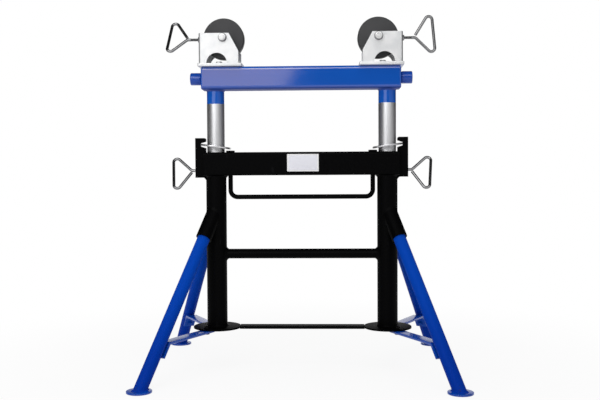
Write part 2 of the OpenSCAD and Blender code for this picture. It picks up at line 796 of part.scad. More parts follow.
module axle_spacers() { color(zinc) for (side = sides, y = sides) on_side(side) axle_spacer(y); }
module left_roller() { color(roller_grey) on_side(-1) roller_shape(); }
module right_roller() { color(roller_grey) roller_shape(); }
module left_roller_bush() { color(bronze) on_side(-1) roller_bush_shape(); }
module right_roller_bush() { color(bronze) roller_bush_shape(); }
module left_brake_screw() { color(chrome) on_side(-1) brake_screw_shape(left_brake_angle); }
module right_brake_screw() { color(chrome) brake_screw_shape(right_brake_angle); }
module left_brake_pad() { color(bronze) on_side(-1) brake_pad_shape(); }
module right_brake_pad() { color(bronze) brake_pad_shape(); }
module left_clamp_screw() { color(chrome) on_side(-1) clamp_screw_shape(left_clamp_angle); }
module right_clamp_screw() { color(chrome) clamp_screw_shape(right_clamp_angle); }
module left_clamp_pad() { color(bronze) on_side(-1) clamp_pad_shape(); }
module right_clamp_pad() { color(bronze) clamp_pad_shape(); }

left_post();
right_post();
crossmember();
left_hook_bracket();
right_hook_bracket();
mid_rail();
tie_bar();
left_base_disc();
right_base_disc();
leg_socket(-1, -1);  // front_left_socket
leg_socket(1, -1);  // front_right_socket
leg_socket(-1, 1);  // rear_left_socket
leg_socket(1, 1);  // rear_right_socket
leg(-1, -1);  // front_left_leg
leg(1, -1);  // front_right_leg
leg(-1, 1);  // rear_left_leg
leg(1, 1);  // rear_right_leg
foot(-1, -1);  // front_left_foot
foot(1, -1);  // front_right_foot
foot(-1, 1);  // rear_left_foot
foot(1, 1);  // rear_right_foot
brace(-1, -1);  // front_left_brace
brace(1, -1);  // front_right_brace
brace(-1, 1);  // rear_left_brace
brace(1, 1);  // rear_right_brace
brace_bolts();
brace_nuts();
release_handle();
release_collars();
left_lock_plate();
right_lock_plate();
left_inner_tube();
right_inner_tube();
beam();
beam_end_caps();
left_end_stub();
right_end_stub();
left_bracket_base();
right_bracket_base();
bracket_bolts();
left_roller_bracket();
right_roller_bracket();
brake_nuts();
left_axle_bolt();
right_axle_bolt();
axle_nuts();
axle_spacers();
left_roller();
right_roller();
left_roller_bush();
right_roller_bush();
left_brake_screw();
right_brake_screw();
left_brake_pad();
right_brake_pad();
left_clamp_screw();
right_clamp_screw();
left_clamp_pad();
right_clamp_pad();
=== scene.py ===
# %% [markdown]
# # A two-column pipe roller support
# A pipe is laid across two braked rollers while it is cut or welded. The rollers stand on a
# blue head that slides up and down in a black frame, and four splayed legs carry the frame.
# The CAD model gives every size. Here each piece gets the edges, welds, threads and finishes
# that the real one shows, in the same frame and in metres.

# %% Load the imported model
import math

import bmesh
import bpy
import numpy as np
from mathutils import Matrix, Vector


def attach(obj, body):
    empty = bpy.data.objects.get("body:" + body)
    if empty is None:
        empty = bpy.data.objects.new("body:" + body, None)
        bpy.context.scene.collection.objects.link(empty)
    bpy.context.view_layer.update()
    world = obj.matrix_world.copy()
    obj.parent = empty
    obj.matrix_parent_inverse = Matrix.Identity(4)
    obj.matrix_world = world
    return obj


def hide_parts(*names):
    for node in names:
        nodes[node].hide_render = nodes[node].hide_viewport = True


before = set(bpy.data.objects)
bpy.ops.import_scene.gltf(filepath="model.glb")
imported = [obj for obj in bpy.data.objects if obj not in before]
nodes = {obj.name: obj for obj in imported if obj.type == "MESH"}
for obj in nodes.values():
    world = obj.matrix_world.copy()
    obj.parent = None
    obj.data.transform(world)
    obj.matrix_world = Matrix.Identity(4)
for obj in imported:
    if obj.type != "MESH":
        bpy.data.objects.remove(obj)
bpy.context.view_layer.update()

# %% [markdown]
# The sizes come from the drawing, in millimetres. Those that several cells share are turned
# into metres here, and those that only one cell needs are named in that cell.

# %% Sizes of the frame
MM = 0.001
SIDES = (-1, 1)
SIDE_NAMES = {-1: "left", 1: "right"}
ENDS = {-1: "front", 1: "rear"}
CORNERS = [(side, end, f"{ENDS[end]}_{SIDE_NAMES[side]}") for end in ENDS for side in SIDES]
POST_X = 296.3 * MM
POST_R = 35.0 * MM
TUBE_R = 30.15 * MM
TUBE_LOW = 309.0 * MM
CROSS_LOW = 664.0 * MM
CROSS_HALF_Y = 40.0 * MM
CROSS_HALF_X = 336.0 * MM
HOOK_HALF_Y = 12.5 * MM
HOOK_LOW = 657.0 * MM
HOOK_IN = 331.5 * MM
RAIL_Z = 392.0 * MM
RAIL_R = 16.85 * MM
DISC_LOW = 134.0 * MM
DISC_TOP = 140.0 * MM
DISC_R = 82.5 * MM
BEAM_LOW = 959.0 * MM
BEAM_TOP = 1037.0 * MM
BEAM_MID = 998.0 * MM
BEAM_HALF = 342.0 * MM
BEAM_SECTION = (80.0 * MM, 78.0 * MM)
CAP_THICK = 6.0 * MM
BASE_TOP = 1047.0 * MM
ROLLER_X = 265.0 * MM
AXLE_Z = 1133.6 * MM
CLAMP_Z = 681.5 * MM
PAINT_EDGE_Z = 910.6 * MM
print("columns at", POST_X, "rollers at", ROLLER_X, AXLE_Z)

# %% [markdown]
# A surface is a grid of points: one parameter runs along its rows and the other along its
# columns. A shell holds such a grid's points, its four-cornered faces and its end caps. If
# the volume that a shell encloses comes out negative, its faces look inward, and all of them
# are turned over. That way no formula has to care which way it runs.

# %% Grids and shells
def unit(vectors):
    """Each vector divided by its own length."""
    return vectors / np.linalg.norm(vectors, axis=-1, keepdims=True)


def dot(a, b):
    """The dot products of two lists of vectors, kept as a column."""
    return np.sum(a * b, axis=-1, keepdims=True)


def grid_of(x, y, z):
    """A grid of points out of their coordinates, each spread over the rows or columns it lacks."""
    return np.stack(np.broadcast_arrays(x, y, z), axis=-1)


def grid_quads(rows, columns, loop_rows, loop_columns):
    """Faces between each point and its neighbours in the next row and the next column."""
    i, j = np.meshgrid(
        np.arange(rows if loop_rows else rows - 1),
        np.arange(columns if loop_columns else columns - 1),
        indexing="ij",
    )
    next_i = (i + 1) % rows
    next_j = (j + 1) % columns
    corners = [i * columns + j, i * columns + next_j, next_i * columns + next_j, next_i * columns + j]
    return np.stack(corners, axis=-1).reshape(-1, 4)


def shell(grid, loop_rows=False, loop_columns=True, caps=False):
    """The faces of a grid, closed where its rows or columns run in a loop or its ends are capped."""
    rows, columns = grid.shape[:2]
    quads = grid_quads(rows, columns, loop_rows, loop_columns)
    ends = [np.arange(columns)[::-1], (rows - 1) * columns + np.arange(columns)] if caps else []
    return outward((grid.reshape(-1, 3), quads, ends))


def outward(made):
    """The volume is a sum of corner pyramids; where it is negative every face is reversed."""
    points, quads, ends = made
    a, b, c, d = (points[quads[:, k]] for k in range(4))
    volume = np.sum(a * np.cross(b, c)) + np.sum(a * np.cross(c, d))
    for end in ends:
        ring = points[end]
        volume += np.sum(ring[0] * np.cross(ring[1:-1], ring[2:]))
    if volume < 0:
        return points, quads[:, ::-1], [end[::-1] for end in ends]
    return points, quads, ends


def moved(made, points):
    """The same faces on other points."""
    return outward((points, *made[1:]))


def on_side(made, side):
    """The same shell on the right side, or mirrored to the left."""
    return moved(made, made[0] * np.array([side, 1.0, 1.0]))


def mesh_of(name, shells):
    """One mesh out of several shells, whose face numbers are shifted to follow each other."""
    starts = np.cumsum([0] + [len(points) for points, _, _ in shells])
    points = np.concatenate([points for points, _, _ in shells])
    faces = [(quads + start).tolist() for start, (_, quads, _) in zip(starts, shells)]
    caps = [[(end + start).tolist() for end in ends] for start, (_, _, ends) in zip(starts, shells)]
    return smooth_mesh(name, points.tolist(), sum(faces, []) + sum(caps, []))


def smooth_mesh(name, points, faces):
    """A mesh with smooth shading on every face."""
    mesh = bpy.data.meshes.new(name)
    mesh.from_pydata(points, [], faces)
    shade_smooth(mesh)
    return mesh


def shade_smooth(mesh):
    """Turns smooth shading on for every face."""
    mesh.polygons.foreach_set("use_smooth", np.ones(len(mesh.polygons), dtype=bool))


# %% [markdown]
# A piece is a mesh with a finish that rides on one body of the mechanism. Where it stands for
# a CAD node, the node is hidden and stays in the simulation.

# %% Pieces
made_pieces = []
reported = []


def piece(name, shells, body, finish, stands_for=(), smooth=38):
    """Shells as one object, smooth up to the given angle in degrees, riding on a body."""
    mesh = mesh_of(name, shells)
    mesh.set_sharp_from_angle(angle=math.radians(smooth))
    return place(bpy.data.objects.new(name, mesh), body, finish, stands_for)


def place(made, body, finish, stands_for=()):
    """Links an object, gives it its finish and lets it ride on a body."""
    bpy.context.scene.collection.objects.link(made)
    material, slot = finish
    made.data.materials.clear()
    made.data.materials.append(material)
    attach(made, body)
    if stands_for:
        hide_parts(*stands_for)
    made_pieces.append(made.name)
    return made


def report(what):
    """Prints the pieces that were made since the last report."""
    fresh = made_pieces[len(reported):]
    reported.extend(fresh)
    print(what, len(fresh), "pieces")


# %% [markdown]
# Shader maths is easier to read as an expression than as a list of nodes. A field wraps one
# output socket: arithmetic on it adds Math nodes, and any other node comes from one method.

# %% Fields
class Field:
    """One output socket of a node tree, with arithmetic."""

    def __init__(self, tree, socket=None):
        self.tree = tree
        self.socket = socket

    def node(self, kind, settings=None, sockets=None, out=0):
        """Adds a node: its settings first, then the values or links of its sockets."""
        made = self.tree.nodes.new(kind)
        for key, value in (settings or {}).items():
            setattr(made, key, value)
        for key, value in (sockets or {}).items():
            if isinstance(value, Field):
                self.tree.links.new(value.socket, made.inputs[key])
            else:
                made.inputs[key].default_value = value
        return Field(self.tree, made.outputs[out] if made.outputs else None)

    def math(self, operation, *values):
        """A Math node on these numbers or fields."""
        return self.node("ShaderNodeMath", {"operation": operation}, dict(enumerate(values)))

    def __add__(self, other):
        return self.math("ADD", self, other)

    __radd__ = __add__

    def __sub__(self, other):
        return self.math("SUBTRACT", self, other)

    def __rsub__(self, other):
        return self.math("SUBTRACT", other, self)

    def __mul__(self, other):
        return self.math("MULTIPLY", self, other)

    __rmul__ = __mul__

    def __pow__(self, other):
        return self.math("POWER", self, other)

    def __abs__(self):
        return self.math("ABSOLUTE", self)

    def step(self, low, high):
        """Rises smoothly from 0 where the field is low to 1 where it is high."""
        ends = {"Value": self, "From Min": low, "From Max": high}
        return self.node("ShaderNodeMapRange", {"interpolation_type": "SMOOTHSTEP"}, ends)

    def tint(self, low, high):
        """A colour between low and high, with this field as the share of high."""
        return self.node("ShaderNodeMix", {"data_type": "RGBA"}, {0: self, 6: low, 7: high}, 2)

    def noise(self, scale, detail=2.0, stretch=(1.0, 1.0, 1.0)):
        """Cloudy noise on these coordinates, which may be stretched first."""
        spread = self.node("ShaderNodeVectorMath", {"operation": "MULTIPLY"}, {0: self, 1: stretch})
        return self.node("ShaderNodeTexNoise", None, {"Vector": spread, "Scale": scale, "Detail": detail})

    def axes(self):
        """The X, Y and Z parts of a vector field."""
        return [self.node("ShaderNodeSeparateXYZ", None, {0: self}, part) for part in range(3)]

    def bump(self, depth, strength):
        """A normal that treats this field as a height of the given depth in metres."""
        return self.node("ShaderNodeBump", None, {"Strength": strength, "Distance": depth, "Height": self})


def colour(red, green, blue):
    """A colour as a socket takes it."""
    return (red, green, blue, 1.0)


def new_finish(name):
    """An empty material, and the object's own coordinates to grow it from."""
    material = bpy.data.materials.new(name)
    material.use_nodes = True
    material.node_tree.nodes.clear()
    return material, Field(material.node_tree).node("ShaderNodeTexCoord", out="Object")


def close_finish(material, slot, sockets):
    """Ends the tree in a Principled shader, and pairs the material with its slot in the record."""
    field = Field(material.node_tree)
    surface = field.node("ShaderNodeBsdfPrincipled", None, sockets)
    field.node("ShaderNodeOutputMaterial", None, {"Surface": surface})
    print("finish", material.name, len(material.node_tree.nodes), "nodes")
    return material, slot


# %% [markdown]
# The frame is powder coated: a satin black whose skin flows out with a fine dimple, called
# orange peel. A flat black would lose every form. The dimple breaks up the highlight, and a
# slow cloud in the roughness keeps large faces from looking printed.

# %% Black powder coat
material, where = new_finish("black_powder_coat")
peel = where.noise(900.0, 2.0)
cloud = where.noise(9.0, 3.0)
scuff = where.noise(60.0, 6.0, (1.0, 1.0, 0.25)).step(0.66, 0.74)
BLACK = close_finish(material, "black_paint", {
    "Base Color": (scuff * 0.3).tint(colour(0.0013, 0.0013, 0.0015), colour(0.013, 0.013, 0.015)),
    "Roughness": 0.42 + 0.14 * cloud + 0.1 * scuff,
    "Specular IOR Level": 0.03,
    "Normal": peel.bump(0.0003, 0.22),
})

# %% [markdown]
# The head is in a glossy blue enamel. Its colour is deep, so what the eye reads is the
# reflection on top of it: a base with some roughness under a clear coat gives a soft body and
# a sharp sheen at once. The enamel runs while it dries. Its clear coat lies thickest along the
# beam's top edge, thinner on the faces, and hardly at all under the beam, where it is matt.
# Along the beam's underside the blue is painted darker, as painted shade.

# %% Blue enamel
def blue_skin(where):
    """A slow cloud and fine orange peel, which every blue paint has."""
    return where.noise(5.0, 3.0), where.noise(420.0, 2.0)


def enamel_tone(cloud):
    """The enamel's colour, which drifts with the cloud."""
    return cloud.tint(colour(0.0024, 0.094, 0.50), colour(0.0040, 0.116, 0.60))


def enamel_gloss(cloud):
    """The enamel's roughness, which drifts with the cloud."""
    return 0.20 + 0.10 * cloud


material, where = new_finish("blue_enamel")
cloud, peel = blue_skin(where)
high = where.axes()[2]
# Painted shade: the blue is painted darker along the beam's underside.
above_painted_shade = high.step(BEAM_LOW + 0.001, BEAM_LOW + 0.009)
clear = high.step(BEAM_LOW + 0.003, BEAM_LOW + 0.011)
flow = 0.35 + 0.65 * high.step(BEAM_LOW + 0.066, BEAM_LOW + 0.070)
BLUE = close_finish(material, "blue_paint", {
    "Base Color": above_painted_shade.tint(colour(0.0016, 0.055, 0.33), enamel_tone(cloud)),
    "Roughness": 0.4 * enamel_gloss(cloud) + 0.5 * (1.0 - clear),
    "Specular IOR Level": 0.74,
    "Specular Tint": colour(1.0, 0.60, 0.15),
    "Coat Weight": clear * flow,
    "Coat Roughness": 0.09,
    "Coat IOR": 1.85,
    "Normal": peel.bump(0.0003, 0.05),
})

# %% [markdown]
# The legs carry the same blue as a duller powder coat, which hardly mirrors the floor. The blue
# is painted darker towards their lower ends, as painted shade. Feet and legs get knocked there
# too, so chips grow close to the floor and show dark primer.

# %% Blue powder coat
PRIMER = colour(0.03, 0.035, 0.045)


def knocked(where):
    """Share of bare primer: patches of noise that fade out within a hand's height of the floor."""
    return 0.6 * (1.0 - where.axes()[2].step(0.004, 0.05)) * where.noise(130.0, 5.0).step(0.58, 0.68)


material, where = new_finish("blue_powder_coat")
cloud, peel = blue_skin(where)
height = where.axes()[2]
chips = knocked(where)
rubbed = where.noise(24.0, 5.0, (1.0, 1.0, 0.3)).step(0.55, 0.75)
# Painted shade: the blue is painted darker towards the floor, mixed with a random rubbed tone.
shade_by_height_and_rubbed = 0.75 * height.step(0.05, 0.36) + 0.25 * rubbed
leg_blue = shade_by_height_and_rubbed.tint(colour(0.0003, 0.036, 0.36), colour(0.0008, 0.070, 0.52))
LEG_BLUE = close_finish(material, "blue_paint", {
    "Base Color": chips.tint(leg_blue, PRIMER),
    "Roughness": 0.34 + 0.5 * enamel_gloss(cloud) + 0.3 * chips,
    "Specular IOR Level": 0.035,
    "Normal": peel.bump(0.0003, 0.14),
})

# %% [markdown]
# The brace straps, the feet and the beam's end stubs have a smooth paint that mirrors the pale
# room at a low angle, which a clear coat does. The spray hardly reached the straps' tabs under
# the legs, so they stay dull. The straps' bolts were painted over with the parts they hold:
# black on the base discs, blue further out and lower down on the legs.

# %% Straps and their bolts
material, where = new_finish("blue_strap")
cloud = where.noise(18.0, 4.0)
peel = where.noise(420.0, 2.0)
height = where.axes()[2]
chips = knocked(where)
tab = height.step(0.02, 0.03) * (1.0 - height.step(0.116, 0.123))
smooth_blue = cloud.tint(colour(0.0008, 0.054, 0.37), colour(0.0016, 0.070, 0.47))
STRAP_BLUE = close_finish(material, "blue_paint", {
    "Base Color": chips.tint(smooth_blue, PRIMER),
    "Roughness": 0.35 + 0.05 * cloud,
    "Specular IOR Level": 0.1,
    "Coat Weight": (1.0 - tab) * (0.6 + 0.2 * cloud),
    "Coat Roughness": 0.12,
    "Normal": peel.bump(0.0003, 0.1),
})
material, where = new_finish("painted_bolt")
on_disc = where.axes()[2].step(0.112, 0.118)
cloud = where.noise(160.0, 3.0)
worn = cloud.step(0.62, 0.72)
paint = on_disc.tint(colour(0.0012, 0.058, 0.38), colour(0.0018, 0.0018, 0.0021))
PAINTED_BOLT = close_finish(material, "bolt_steel", {
    "Base Color": (worn * 0.3).tint(paint, colour(0.10, 0.10, 0.11)),
    "Roughness": 0.36 + 0.12 * cloud,
    "Specular IOR Level": 0.1,
    "Normal": cloud.bump(0.0002, 0.15),
})

# %% [markdown]
# Brackets and friction plates are zinc plated. Bright zinc is a cloudy metal, neither mirror
# nor grey paint, with a faint drift between warm and cool. The rolled sheet under it leaves
# fine lines along one direction. Along a bracket's folds the zinc is painted dark, as painted shade.

# %% Zinc plate
# Painted shade: the dark grey painted along the roller brackets' folds.
FOLD_SHADE = colour(0.16, 0.16, 0.17)


def fold_shade_share(where):
    """1 on the outer half of a roller bracket's two upright folds, where shade is painted, and 0 elsewhere.
    """
    across, deep, high = where.axes()
    corner = abs(across).step(0.3415, 0.3450) * abs(deep).step(0.0390, 0.0420)
    return corner * high.step(BASE_TOP + 0.0005, BASE_TOP + 0.0015)


def zinc(name, slot, dark, light, rough, metal, with_fold_shade=False):
    """Cloudy bright zinc between two tones, with painted shade along the folds if with_fold_shade is set.
    """
    material, where = new_finish(name)
    cloud = where.noise(26.0, 5.0)
    rolled = where.noise(340.0, 3.0, (0.06, 0.06, 1.0))
    grain = where.noise(2200.0, 2.0)
    tone = cloud.step(0.3, 0.7).tint(dark, light)
    return close_finish(material, slot, {
        "Base Color": fold_shade_share(where).tint(tone, FOLD_SHADE) if with_fold_shade else tone,
        "Metallic": metal,
        "Roughness": rough + 0.12 * cloud + 0.06 * rolled,
        "Normal": (rolled * 0.6 + grain * 0.4).bump(0.00012, 0.12),
    })


BRIGHT_TONES = (colour(0.78, 0.79, 0.80), colour(0.88, 0.882, 0.885))
FORK_ZINC = zinc("zinc_with_fold_shade", "zinc_plate", *BRIGHT_TONES, 0.30, 0.3, with_fold_shade=True)
ZINC = zinc("bright_zinc", "zinc_plate", *BRIGHT_TONES, 0.30, 0.3)
DULL_ZINC = zinc("dull_zinc", "zinc_plate", colour(0.16, 0.16, 0.17), colour(0.30, 0.30, 0.31), 0.34, 0.8)
LOCK_ZINC = zinc("rubbed_zinc", "zinc_plate", colour(0.58, 0.58, 0.60), colour(0.74, 0.74, 0.75), 0.22, 0.9)
BOLT = zinc("bolt_zinc", "bolt_steel", colour(0.44, 0.45, 0.46), colour(0.60, 0.60, 0.60), 0.28, 0.85)

# %% [markdown]
# The inner tubes are bright drawn steel. Drawing leaves streaks along the tube, and the
# friction plates leave faint rings across it. Their top ends are sprayed with the beam, so
# one finish carries both the steel and the blue, parted by height with a slightly wavy edge.

# %% Bright tube
material, where = new_finish("bright_tube")
height = where.axes()[2]
streak = where.noise(420.0, 4.0, (1.0, 1.0, 0.012))
ring = where.noise(260.0, 3.0, (0.02, 0.02, 1.0))
cloud = where.noise(14.0, 3.0)
paint_cloud = blue_skin(where)[0]
painted = (height + 0.0012 * where.noise(160.0)).step(PAINT_EDGE_Z + 0.0003, PAINT_EDGE_Z + 0.0009)
steel = (0.5 * streak + 0.5 * cloud).tint(colour(0.48, 0.485, 0.50), colour(0.64, 0.64, 0.65))
steel_rough = 0.36 + 0.10 * streak + 0.06 * ring
TUBE = close_finish(material, "bright_tube", {
    "Base Color": painted.tint(steel, enamel_tone(paint_cloud)),
    "Metallic": 1.0 - painted,
    "Roughness": painted * enamel_gloss(paint_cloud) + (1.0 - painted) * steel_rough,
    "Specular IOR Level": 0.1,
    "Coat Weight": painted,
    "Coat Roughness": 0.06,
    "Normal": (streak * 0.7 + ring * 0.3).bump(0.00008, 0.12),
})

# %% [markdown]
# The eye screws are bent from bright rod: smoother than the tubes, with a light haze from the
# bending tool. The pads and bushes are a warm bearing bronze.

# %% Rod and bronze
def bright_metal(name, slot, dark, light, rough):
    """A bright metal with a soft haze and fine drawn lines."""
    material, where = new_finish(name)
    haze = where.noise(45.0, 4.0)
    drawn = where.noise(900.0, 2.0)
    return close_finish(material, slot, {
        "Base Color": haze.tint(dark, light),
        "Metallic": 1.0,
        "Roughness": rough + 0.10 * haze,
        "Normal": drawn.bump(0.00006, 0.15),
    })


ROD = bright_metal("bright_rod", "bright_rod", colour(0.17, 0.17, 0.18), colour(0.30, 0.30, 0.30), 0.12)
BRONZE = bright_metal("bearing_bronze", "bronze", colour(0.36, 0.20, 0.07), colour(0.55, 0.34, 0.13), 0.28)

# %% [markdown]
# The axle bolts and nuts are zinc plated too. Their flat ends are bright, while the chamfer
# and the washer behind it are painted dark as painted shade, so the tone depends on the
# distance from the axle.

# %% Axle zinc
def from_axle(where):
    """Distance of a point from the nearer axle line."""
    across, _, high = where.axes()
    off_x = abs(across) - ROLLER_X
    off_z = high - AXLE_Z
    return (off_x * off_x + off_z * off_z) ** 0.5


material, where = new_finish("axle_zinc")
# Painted shade: the chamfer and washer rim round each axle are painted dark.
painted_rim_shade = from_axle(where).step(0.0106, 0.0122)
cloud = where.noise(60.0, 4.0)
AXLE_ZINC = close_finish(material, "zinc_plate", {
    "Base Color": painted_rim_shade.tint(colour(0.84, 0.84, 0.84), colour(0.27, 0.27, 0.28)),
    "Metallic": 0.3 + 0.4 * painted_rim_shade,
    "Roughness": 0.28 + 0.1 * cloud,
    "Normal": cloud.bump(0.0001, 0.15),
})

# %% [markdown]
# The rollers are turned from a dark grey engineering plastic. The tool leaves fine rings
# about the axle, so the pattern is a function of the distance from the axle alone. The rounded
# rim is painted nearly black, as painted shade.

# %% Roller plastic
material, where = new_finish("roller_plastic")
radius = from_axle(where)
turned = (radius * 5200.0).math("SINE", radius * 5200.0)
cloud = where.noise(30.0, 4.0)
# Painted shade: the rounded rim of each roller is painted nearly black.
rim = radius.step(0.0676, 0.0694)
face = cloud.tint(colour(0.050, 0.050, 0.052), colour(0.070, 0.070, 0.073))
ROLLER = close_finish(material, "roller_polymer", {
    "Base Color": rim.tint(face, colour(0.016, 0.016, 0.017)),
    "Roughness": 0.48 + 0.12 * cloud - 0.1 * rim,
    "Specular IOR Level": 0.2,
    "Normal": (turned * 0.5 + cloud * 0.5).bump(0.00006, 0.25),
})

# %% [markdown]
# The plate on the crossmember is left bare: a white sheet with a slightly cooler field inside
# a paler margin.

# %% Bare plate
PLATE_X = 6.3 * MM
PLATE_Z = 706.6 * MM
PLATE_HALF = (54.0 * MM, 29.6 * MM)
material, where = new_finish("bare_plate")
across, _, high = where.axes()
inside_x = 1.0 - abs(across - PLATE_X).step(PLATE_HALF[0] - 0.0062, PLATE_HALF[0] - 0.0052)
inside_z = 1.0 - abs(high - PLATE_Z).step(PLATE_HALF[1] - 0.0052, PLATE_HALF[1] - 0.0042)
grain = where.noise(700.0, 2.0)
PLATE = close_finish(material, None, {
    "Base Color": (inside_x * inside_z).tint(colour(0.95, 0.95, 0.95), colour(0.90, 0.90, 0.97)),
    "Roughness": 0.42 + 0.1 * grain,
    "Normal": grain.bump(0.00005, 0.1),
})

# %% [markdown]
# Some CAD nodes already have the right shape: the columns, the crossmember, the rails, the leg
# tubes with their sockets, the spacers and the bushes. They keep their mesh and only get a
# finish.

# %% Finishes on CAD nodes
BLACK_NODES = ["left_post", "right_post", "crossmember", "mid_rail", "tie_bar"]
BLACK_NODES += [f"{name}_socket" for _, _, name in CORNERS]
LEG_NODES = [f"{name}_leg" for _, _, name in CORNERS]
ZINC_NODES = ["axle_spacers"]
BRONZE_NODES = ["left_roller_bush", "right_roller_bush"]


def dress(names, finish):
    """Gives CAD nodes a finish as the only material of their mesh."""
    for name in names:
        node = nodes[name]
        node.data.materials.clear()
        node.data.materials.append(finish[0])


dress(BLACK_NODES, BLACK)
dress(LEG_NODES, LEG_BLUE)
dress(ZINC_NODES, ZINC)
dress(BRONZE_NODES, BRONZE)
print("dressed", len(BLACK_NODES + LEG_NODES + ZINC_NODES + BRONZE_NODES), "nodes")

# %% [markdown]
# Most of the hardware is round. A lathe does it: a profile of radius and height is carried
# round an axis. The profile's corners get a small arc, because a real edge is never sharp
# and the arc is what catches the light.

# %% Lathe
X_AXIS = np.array([1.0, 0.0, 0.0])
Y_AXIS = np.array([0.0, 1.0, 0.0])
Z_AXIS = np.array([0.0, 0.0, 1.0])


def mid_plane(x, z):
    """A point or a direction in the plane Y = 0."""
    return np.array([x, 0.0, z])


def slant(tilt):
    """Down along a bar that leans out by tilt from the upright, and square to it on its upper side."""
    return mid_plane(math.sin(tilt), -math.cos(tilt)), mid_plane(math.cos(tilt), math.sin(tilt))


def ring_angles(steps):
    """Evenly spaced angles round a circle."""
    return np.linspace(0.0, 2.0 * np.pi, steps, endpoint=False)


def lathe(radius, height, base, axis, side, loop=False):
    """Point = base + height along the axis + radius times the turning side direction.
    Radius is one number per row, or a whole rows by columns array."""
    radius = radius if radius.ndim == 2 else np.repeat(radius[:, None], 96, axis=1)
    angle = ring_angles(radius.shape[1])
    spoke = np.cos(angle)[:, None] * side + np.sin(angle)[:, None] * np.cross(axis, side)
    grid = base + height[:, None, None] * axis + radius[:, :, None] * spoke[None]
    return shell(grid, loop_rows=loop, caps=not loop)


def edge_arc(radius, height, edge, start, steps=5):
    """A quarter circle of the given radius round a corner, from the angle start on."""
    angle = start + np.linspace(0.0, np.pi / 2.0, steps)
    return radius + edge * np.cos(angle), height + edge * np.sin(angle)


def disc_profile(radius, low, high, edge_low, edge_high):
    """Radius and height up the rim of a disc whose two edges are rounded."""
    lower = edge_arc(radius - edge_low, low + edge_low, edge_low, -np.pi / 2.0)
    upper = edge_arc(radius - edge_high, high - edge_high, edge_high, 0.0)
    return np.concatenate([lower, upper], axis=1)


def ring_profile(bore, radius, low, high, edge):
    """A closed profile: up the rounded rim and down the bore."""
    rim = disc_profile(radius, low, high, edge, edge)
    return np.concatenate([rim, [[bore, bore], [high, low]]], axis=1)


# %% [markdown]
# Inner tubes, base discs, feet, collars, end stubs, rollers and pads all come off the lathe.

# %% Turned pieces
TUBE_BORE = 26.15 * MM
WHEEL_R = 70.0 * MM
WHEEL_HALF = 20.0 * MM
HUB_R = np.array([12.2, 17.0, 17.8]) * MM
HUB_H = WHEEL_HALF - np.array([0.0, 0.0, 0.6]) * MM
STUB_R = np.array([19.0, 19.0, 19.6, 21.0, 21.2, 21.2, 20.9, 19.6, 18.8]) * MM
STUB_H = np.array([0.0, 2.4, 3.2, 5.0, 5.8, 37.6, 38.3, 39.8, 40.0]) * MM
PAD_R = 7.0 * MM
PAD_EDGE = 0.5 * MM
PADS = (("brake", 336.5 * MM, 3.0 * MM, AXLE_Z), ("clamp", 327.25 * MM, 4.0 * MM, CLAMP_Z))
for side, name in SIDE_NAMES.items():
    column = mid_plane(side * POST_X, 0.0)
    tube_profile = ring_profile(TUBE_BORE, TUBE_R, TUBE_LOW, BEAM_LOW, 0.4 * MM)
    tube = lathe(*tube_profile, column, Z_AXIS, X_AXIS, loop=True)
    piece(f"{name}_bright_tube", [tube], "head", TUBE, [f"{name}_inner_tube"])
    disc = lathe(*disc_profile(DISC_R, DISC_LOW, DISC_TOP, 0.8 * MM, 1.4 * MM), column, Z_AXIS, X_AXIS)
    piece(f"{name}_foot_disc", [disc], "stand", BLACK, [f"{name}_base_disc"])
    stub = lathe(STUB_R, STUB_H, mid_plane(side * BEAM_HALF, BEAM_MID), side * X_AXIS, Y_AXIS)
    piece(f"{name}_stub", [stub], "head", STRAP_BLUE, [f"{name}_end_stub"])
    axle = mid_plane(side * ROLLER_X, AXLE_Z)
    rim = disc_profile(WHEEL_R, -WHEEL_HALF, WHEEL_HALF, 3.0 * MM, 3.0 * MM)
    wheel_profile = np.concatenate([[HUB_R, -HUB_H], rim, [HUB_R[::-1], HUB_H[::-1]]], axis=1)
    wheel = lathe(*wheel_profile, axle, Y_AXIS, X_AXIS, loop=True)
    piece(f"{name}_wheel", [wheel], f"{name}_roller", ROLLER, [f"{name}_roller"])
    for kind, pad_x, pad_thick, pad_z in PADS:
        pad_profile = disc_profile(PAD_R, 0.0, pad_thick, PAD_EDGE, PAD_EDGE)
        pad = lathe(*pad_profile, mid_plane(side * pad_x, pad_z), side * X_AXIS, Y_AXIS)
        piece(f"{name}_{kind}_shoe", [pad], f"{name}_{kind}_pad", BRONZE, [f"{name}_{kind}_pad"])
report("turned")

# %% [markdown]
# Bent rods are a circle carried along a path. The path is straight runs joined by arcs. At
# each point of it the circle stands square to the path, which needs the path's direction and
# one fixed direction across it.

# %% Rods along a path
def bent_path(corners, bend, steps=14):
    """Straight runs between the corners, with an arc of radius bend at each inner one."""
    corners = np.asarray(corners, dtype=float)
    runs = unit(np.diff(corners, axis=0))
    parts = [corners[:1]]
    for corner, ahead, beyond in zip(corners[1:-1], runs[:-1], runs[1:]):
        cosine = float(np.clip(ahead @ beyond, -1.0, 1.0))
        turn = math.acos(cosine)
        inward = (beyond - ahead * cosine) / math.sin(turn)
        start = corner - ahead * bend * math.tan(turn / 2.0)
        angle = np.linspace(0.0, turn, steps)[:, None]
        parts.append(start + bend * (np.sin(angle) * ahead + (1.0 - np.cos(angle)) * inward))
    return np.concatenate(parts + [corners[-1:]])


def stepped_ends(path, edge):
    """The path with one more point just inside each end, and the path's direction at each point."""
    run = unit(np.gradient(path, axis=0))
    inner = [path[:1] + run[:1] * edge, path[1:-1], path[-1:] - run[-1:] * edge]
    return np.concatenate([path[:1], *inner, path[-1:]]), np.concatenate([run[:1], run, run[-1:]])


